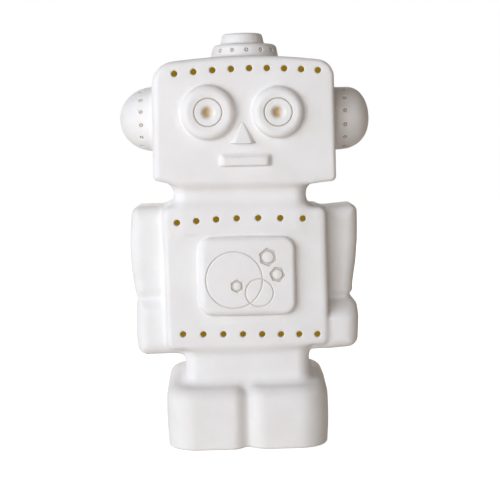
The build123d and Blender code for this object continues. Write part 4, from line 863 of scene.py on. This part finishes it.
def streak_group():
    """Lines left by drawing, rolling or turning: noise that is stretched along one way."""
    outputs = {"Roughness": 1, "Height": 1}
    group, given, result = new_group(
        "tool_streaks", outputs, Stretch=(1.0, 1.0, 1.0), Low=0.2, High=0.4
    )
    scale = add_node(group, "ShaderNodeVectorMath", operation="MULTIPLY")
    noise = add_node(group, "ShaderNodeTexNoise", Scale=1.0, Detail=4.0, Roughness=0.6)
    spread = add_node(group, "ShaderNodeMapRange")
    join(
        group,
        (given.outputs["Place"], scale.inputs[0]),
        (given.outputs["Stretch"], scale.inputs[1]),
        (scale.outputs[0], noise.inputs["Vector"]),
        (noise.outputs["Fac"], spread.inputs["Value"]),
        (given.outputs["Low"], spread.inputs["To Min"]),
        (given.outputs["High"], spread.inputs["To Max"]),
        (spread.outputs["Result"], result.inputs["Roughness"]),
        (noise.outputs["Fac"], result.inputs["Height"]),
    )
    return group


TONE_DRIFT, FINE_RELIEF, TOOL_STREAKS = mottle_group(), grain_group(), streak_group()


class Finish:
    """A material with one Principled shader, and short ways to join the shared effects to it."""

    def __init__(self, name, **sockets):
        self.material = bpy.data.materials.new(name)
        self.material.use_nodes = True
        self.tree = self.material.node_tree
        self.shader = self.tree.nodes["Principled BSDF"]
        self.place = self.tree.nodes.new("ShaderNodeTexCoord").outputs["Object"]
        for socket, value in sockets.items():
            self.shader.inputs[socket.replace("_", " ")].default_value = value

    def group(self, group, **values):
        node = self.tree.nodes.new("ShaderNodeGroup")
        node.node_tree = group
        self.tree.links.new(self.place, node.inputs["Place"])
        for name, value in values.items():
            node.inputs[name].default_value = value
        return node

    def tones(self, size, light, dark):
        """Base colour that drifts between two tones."""
        node = self.group(TONE_DRIFT, Size=size, Light=linear(*light), Dark=linear(*dark))
        self.tree.links.new(node.outputs["Tone"], self.shader.inputs["Base Color"])

    def relief(self, broad, tight, share, depth):
        """Fine relief of that depth in metres."""
        node = self.group(FINE_RELIEF, Broad=broad, Tight=tight, Share=share)
        self.bump(node.outputs["Height"], depth)

    def streaks(self, stretch, low, high, depth):
        """Tool streaks whose roughness goes from low to high."""
        node = self.group(TOOL_STREAKS, Stretch=stretch, Low=low, High=high)
        self.tree.links.new(node.outputs["Roughness"], self.shader.inputs["Roughness"])
        self.bump(node.outputs["Height"], depth)

    def bump(self, height, depth):
        bump = add_node(self.tree, "ShaderNodeBump", Distance=depth, Strength=1.0)
        self.tree.links.new(height, bump.inputs["Height"])
        self.tree.links.new(bump.outputs["Normal"], self.shader.inputs["Normal"])


# ------------ finishes of this lamp
PORCELAIN_TONES = (236, 235, 234), (231, 229, 227)
# painted light mixed into the porcelain by masks: shade in the marks, glow and shade in the pupils,
# lamp light on the inner skin
PAINTED_LIGHT_TINTS = {"mark_shade": (162, 146, 124), "pupil": (190, 158, 104), "lining": (150, 122, 40)}
# emission of the painted lamp light glowing on the inner skin
LINING_GLOW = (112, 94, 20)


def porcelain_finish():
    """Matt unglazed porcelain: painted brown shade in its marks, painted tan glow and shade in its
    pupils, and painted amber lamp light on its inner skin.
    """
    finish = Finish("bisque_porcelain", Roughness=0.62, Specular_IOR_Level=0.35)
    light, dark = (linear(*tone) for tone in PORCELAIN_TONES)
    skin = finish.group(TONE_DRIFT, Size=38.0, Light=light, Dark=dark).outputs["Tone"]
    tree, masks = finish.tree, {}
    # each painted shade or glow is mixed over the skin by its mask
    for name, colour in PAINTED_LIGHT_TINTS.items():
        masks[name] = add_node(tree, "ShaderNodeAttribute", attribute_name=name).outputs["Fac"]
        mix = add_node(tree, "ShaderNodeMix", data_type="RGBA")
        mix.inputs[7].default_value = linear(*colour)
        join(tree, (masks[name], mix.inputs["Factor"]), (skin, mix.inputs[6]))
        skin = mix.outputs[2]
    # painted glow of the lamp's light, on the inner skin only
    glow = add_node(tree, "ShaderNodeMix", data_type="RGBA")
    glow.inputs[6].default_value = (0, 0, 0, 1)
    glow.inputs[7].default_value = linear(*LINING_GLOW)
    join(
        tree,
        (skin, finish.shader.inputs["Base Color"]),
        (masks["lining"], glow.inputs["Factor"]),
        (glow.outputs[2], finish.shader.inputs["Emission Color"]),
    )
    finish.shader.inputs["Emission Strength"].default_value = 1.0
    finish.relief(broad=70.0, tight=1500.0, share=0.25, depth=0.00022)
    return finish.material


def felt_finish():
    finish = Finish("black_felt", Roughness=0.95, Sheen_Weight=0.4, Sheen_Roughness=0.5)
    finish.tones(900.0, light=(52, 52, 54), dark=(30, 30, 32))
    finish.relief(broad=900.0, tight=4200.0, share=0.6, depth=0.0006)
    return finish.material


def moulded_finish(name, light, dark, roughness, depth):
    finish = Finish(name, Roughness=roughness)
    finish.tones(160.0, light, dark)
    finish.relief(broad=500.0, tight=2600.0, share=0.7, depth=depth)
    return finish.material


def metal_finish(name, light, dark, stretch, low, high):
    finish = Finish(name, Metallic=1.0)
    finish.tones(220.0, light, dark)
    finish.streaks(stretch, low, high, depth=0.00002)
    return finish.material


def glass_finish(name, tint, roughness):
    finish = Finish(
        name, Roughness=roughness, Transmission_Weight=1.0, IOR=1.46, Base_Color=(*tint, 1.0)
    )
    finish.relief(broad=60.0, tight=900.0, share=0.1, depth=0.00002)
    return finish.material


def filament_finish():
    """Amber phosphor over light diodes: its bands glow unevenly."""
    finish = Finish("amber_phosphor", Roughness=0.5)
    finish.tones(700.0, light=(250, 190, 70), dark=(225, 150, 40))
    bright, dim = (1.0, 0.55, 0.14, 1), (0.8, 0.36, 0.06, 1)
    glow = finish.group(TONE_DRIFT, Size=900.0, Light=bright, Dark=dim)
    finish.tree.links.new(glow.outputs["Tone"], finish.shader.inputs["Emission Color"])
    finish.shader.inputs["Emission Strength"].default_value = 2.2
    return finish.material


#   slot,              material,                 light tone,      dark tone,       roughness, depth
MOULDED = (
    ("moulded_black", "textured_black_plastic", (48, 48, 50), (38, 38, 40), 0.55, 0.00012),
    ("holder_white", "satin_white_plastic", (222, 220, 214), (212, 209, 202), 0.38, 0.00003),
    ("bush_rubber", "black_rubber", (42, 42, 44), (30, 30, 32), 0.72, 0.00010),
    ("insulator_black", "black_insulator", (30, 30, 32), (22, 22, 24), 0.35, 0.00004),
    ("steatite", "unglazed_steatite", (228, 224, 212), (214, 208, 194), 0.7, 0.00010),
    ("board", "green_circuit_board", (44, 104, 66), (30, 82, 50), 0.4, 0.00003),
)
#   slot,           material,        light tone,      dark tone,       stretch,       roughness
METALS = (
    ("zinc_steel", "bright_zinc", (196, 198, 204), (172, 176, 184), (900, 900, 200), 0.25, 0.42),
    ("spring_steel", "blued_spring_steel", (150, 154, 164), (118, 122, 134), (200, 1500, 1500),
     0.24, 0.42),
    ("brass", "drawn_brass", (222, 190, 122), (198, 160, 92), (300, 300, 1400), 0.2, 0.38),
    ("cap_metal", "nickelled_brass", (214, 208, 196), (190, 184, 170), (200, 200, 2200),
     0.16, 0.32),
    ("solder", "tin_solder", (190, 190, 192), (160, 160, 164), (600, 600, 600), 0.28, 0.5),
    ("nickel_wire", "nickel_wire", (206, 204, 198), (180, 178, 172), (800, 800, 300), 0.15, 0.3),
)
FINISHES = {
    "porcelain": porcelain_finish(),
    "felt": felt_finish(),
    **{slot: moulded_finish(*values) for slot, *values in MOULDED},
    **{slot: metal_finish(*values) for slot, *values in METALS},
    "bulb_glass": glass_finish("clear_bulb_glass", (1.0, 0.985, 0.95), 0.02),
    "stem_glass": glass_finish("pressed_stem_glass", (0.96, 0.98, 0.99), 0.08),
    "filament": filament_finish(),
}


# ------------ the porcelain figure
def attribute(made, name, values):
    """Stores a value for each point, which the finish reads as a mask."""
    stored = made.data.attributes.new(name, "FLOAT", "POINT")
    stored.data.foreach_set("value", values.astype(np.float32))


def lining(x, y, z, depth_in_wall):
    """Where the lit inner skin is, which the recess and the notch are not part of."""
    room = 1.2
    in_recess = (np.hypot(x, y - LIGHT_Y) < RECESS_RADIUS + room) & (z < RECESS_TOP + room)
    room, front_end = 0.8, 20
    in_notch = (np.abs(x) < NOTCH_HALF + room) & (z < NOTCH_TOP + room) & (y > front_end)
    return ramp(depth_in_wall, 0.25 * WALL, 0.9 * WALL) * ~in_recess * ~in_notch


def pupil_glow_and_shade(x, y, z):
    """How much painted glow of lamp light through the thin pupil floors the pupils get, with more
    painted shade towards the left of each.
    """
    reach = np.min([np.hypot(x - ex, z - ez) for ex, ez in EYES], 0)
    floor = PUPIL_FRONT + PUPIL_DEPTH
    sunk = ramp(y, PUPIL_FRONT - 0.2, floor - 0.4) * (y < floor + 0.3)
    across = x - by_side(x, (EYES[0][0], EYES[1][0]))
    # painted shade: stronger towards the left of each pupil
    shaded_side = 0.45 + 0.55 * ramp(across, 2.2, -0.8)
    return sunk * shaded_side * ramp(reach, PUPIL_RADIUS, 0.45 * PUPIL_RADIUS)


points, triangles, normals = figure_mesh()
porcelain_figure = mesh_object("porcelain_figure", points, triangles, normals)
depth_in_wall = -at_points(points, clay)
outside = depth_in_wall < 0.5 * WALL
# mask of the painted lamp light glowing on the inner skin
attribute(porcelain_figure, "lining", lining(*points.T, depth_in_wall))
# painted glow in the pupils, with painted shade to their left
attribute(porcelain_figure, "pupil", pupil_glow_and_shade(*points.T))
# painted shade in the pressed marks, on the outer skin only
attribute(porcelain_figure, "mark_shade", at_points(points, shade_in_marks) * outside)
porcelain_figure.data.materials.append(FINISHES["porcelain"])
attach(porcelain_figure, "figure")
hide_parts(*[name for name in frame["nodes"] if name.startswith("porcelain")])

# ------------ the light unit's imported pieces
for part in frame["record"]["subparts"]:
    node = frame["nodes"][part["node"]]
    if not node.hide_render:
        for slot in node.material_slots:
            slot.material = FINISHES[part["material_slot"]]

# ------------ floor, light and camera, in metres
FLOOR_HALF, FLOOR_COLOUR, FLOOR_WHITE = 3.0, (0.78, 0.72, 0.64, 1), 0.88
FILL_COLOUR, FILL_STRENGTH = (1.0, 0.72, 0.46, 1), 0.13
LAMP_MIDDLE = Vector((0.0, 0.0, 0.14))
CAMERA_TARGET = Vector((0.003, 0.0, 0.1308))
CAMERA_DISTANCE, FRAME_WIDTH = 0.9, 0.3488  # the width that the frame takes in at the target
CAMERA_TURN, CAMERA_LIFT, CAMERA_ROLL = np.radians(-1.0), np.radians(5.6), np.radians(1.2)


def seen_rays(tree):
    """1 for what is seen straight, in gloss or through glass, 0 for light off other surfaces."""
    path = tree.nodes.new("ShaderNodeLightPath")
    first = add_node(tree, "ShaderNodeMath", operation="MAXIMUM")
    second = add_node(tree, "ShaderNodeMath", operation="MAXIMUM")
    join(
        tree,
        (path.outputs["Is Camera Ray"], first.inputs[0]),
        (path.outputs["Is Glossy Ray"], first.inputs[1]),
        (first.outputs[0], second.inputs[0]),
        (path.outputs["Is Transmission Ray"], second.inputs[1]),
    )
    return second.outputs[0]


def studio_floor():
    """Pale floor that is seen as white, a shade darker only where the lamp shades it."""
    bpy.ops.mesh.primitive_plane_add(size=2 * FLOOR_HALF)
    floor = bpy.context.object
    floor.name = "studio_floor"
    material = bpy.data.materials.new("white_floor")
    material.use_nodes = True
    tree = material.node_tree
    shader = tree.nodes["Principled BSDF"]
    shader.inputs["Base Color"].default_value = FLOOR_COLOUR
    shader.inputs["Roughness"].default_value = 0.9
    shader.inputs["Emission Color"].default_value = (1, 1, 1, 1)
    lifted = add_node(tree, "ShaderNodeMath", operation="MULTIPLY")
    lifted.inputs[1].default_value = FLOOR_WHITE
    join(
        tree,
        (seen_rays(tree), lifted.inputs[0]),
        (lifted.outputs[0], shader.inputs["Emission Strength"]),
    )
    floor.data.materials.append(material)


def studio_world():
    """White where it is seen; elsewhere a dim warm fill."""
    world = bpy.data.worlds.new("studio")
    bpy.context.scene.world = world
    world.use_nodes = True
    tree = world.node_tree
    fill = tree.nodes["Background"]
    fill.inputs["Color"].default_value = FILL_COLOUR
    fill.inputs["Strength"].default_value = FILL_STRENGTH
    white = add_node(tree, "ShaderNodeBackground", Color=(1, 1, 1, 1), Strength=1.0)
    mix = tree.nodes.new("ShaderNodeMixShader")
    join(
        tree,
        (seen_rays(tree), mix.inputs["Fac"]),
        (fill.outputs["Background"], mix.inputs[1]),
        (white.outputs["Background"], mix.inputs[2]),
        (mix.outputs["Shader"], tree.nodes["World Output"].inputs["Surface"]),
    )


def softbox(name, place, width, height, watts, colour):
    """Soft lamp that is turned to the middle of the figure."""
    data = bpy.data.lights.new(name, "AREA")
    data.shape, data.size, data.size_y = "RECTANGLE", width, height
    data.energy, data.color = watts, colour
    box = bpy.data.objects.new(name, data)
    box.location = place
    box.rotation_euler = (Vector(place) - LAMP_MIDDLE).to_track_quat("Z", "Y").to_euler()
    bpy.context.scene.collection.objects.link(box)


def studio_camera():
    """Camera a little above the figure and turned and rolled a little."""
    level = np.cos(CAMERA_LIFT)
    back = Vector(
        (np.sin(CAMERA_TURN) * level, -np.cos(CAMERA_TURN) * level, np.sin(CAMERA_LIFT))
    )
    right = Vector((np.cos(CAMERA_TURN), np.sin(CAMERA_TURN), 0.0))
    up = back.cross(right)
    rolled_right = np.cos(CAMERA_ROLL) * right - np.sin(CAMERA_ROLL) * up
    rolled_up = np.sin(CAMERA_ROLL) * right + np.cos(CAMERA_ROLL) * up
    data = bpy.data.cameras.new("camera")
    data.lens = data.sensor_width * CAMERA_DISTANCE / FRAME_WIDTH
    camera = bpy.data.objects.new("camera", data)
    turned = Matrix((rolled_right, rolled_up, back)).transposed().to_4x4()
    camera.matrix_world = Matrix.Translation(CAMERA_TARGET + back * CAMERA_DISTANCE) @ turned
    bpy.context.scene.collection.objects.link(camera)
    bpy.context.scene.camera = camera


studio_floor()
studio_world()
softbox("key_left", (-1.25, -0.95, 0.5), 1.0, 1.0, watts=13.1, colour=(0.815, 0.885, 1.0))
softbox("back_soft", (-0.25, 1.5, 0.6), 1.1, 1.0, watts=8.0, colour=(0.97, 0.97, 0.97))
softbox("front_left", (-0.5, -1.48, 0.33), 1.1, 1.0, watts=15.1, colour=(0.92, 0.95, 1.0))
studio_camera()
bpy.context.scene.view_settings.view_transform = "Standard"
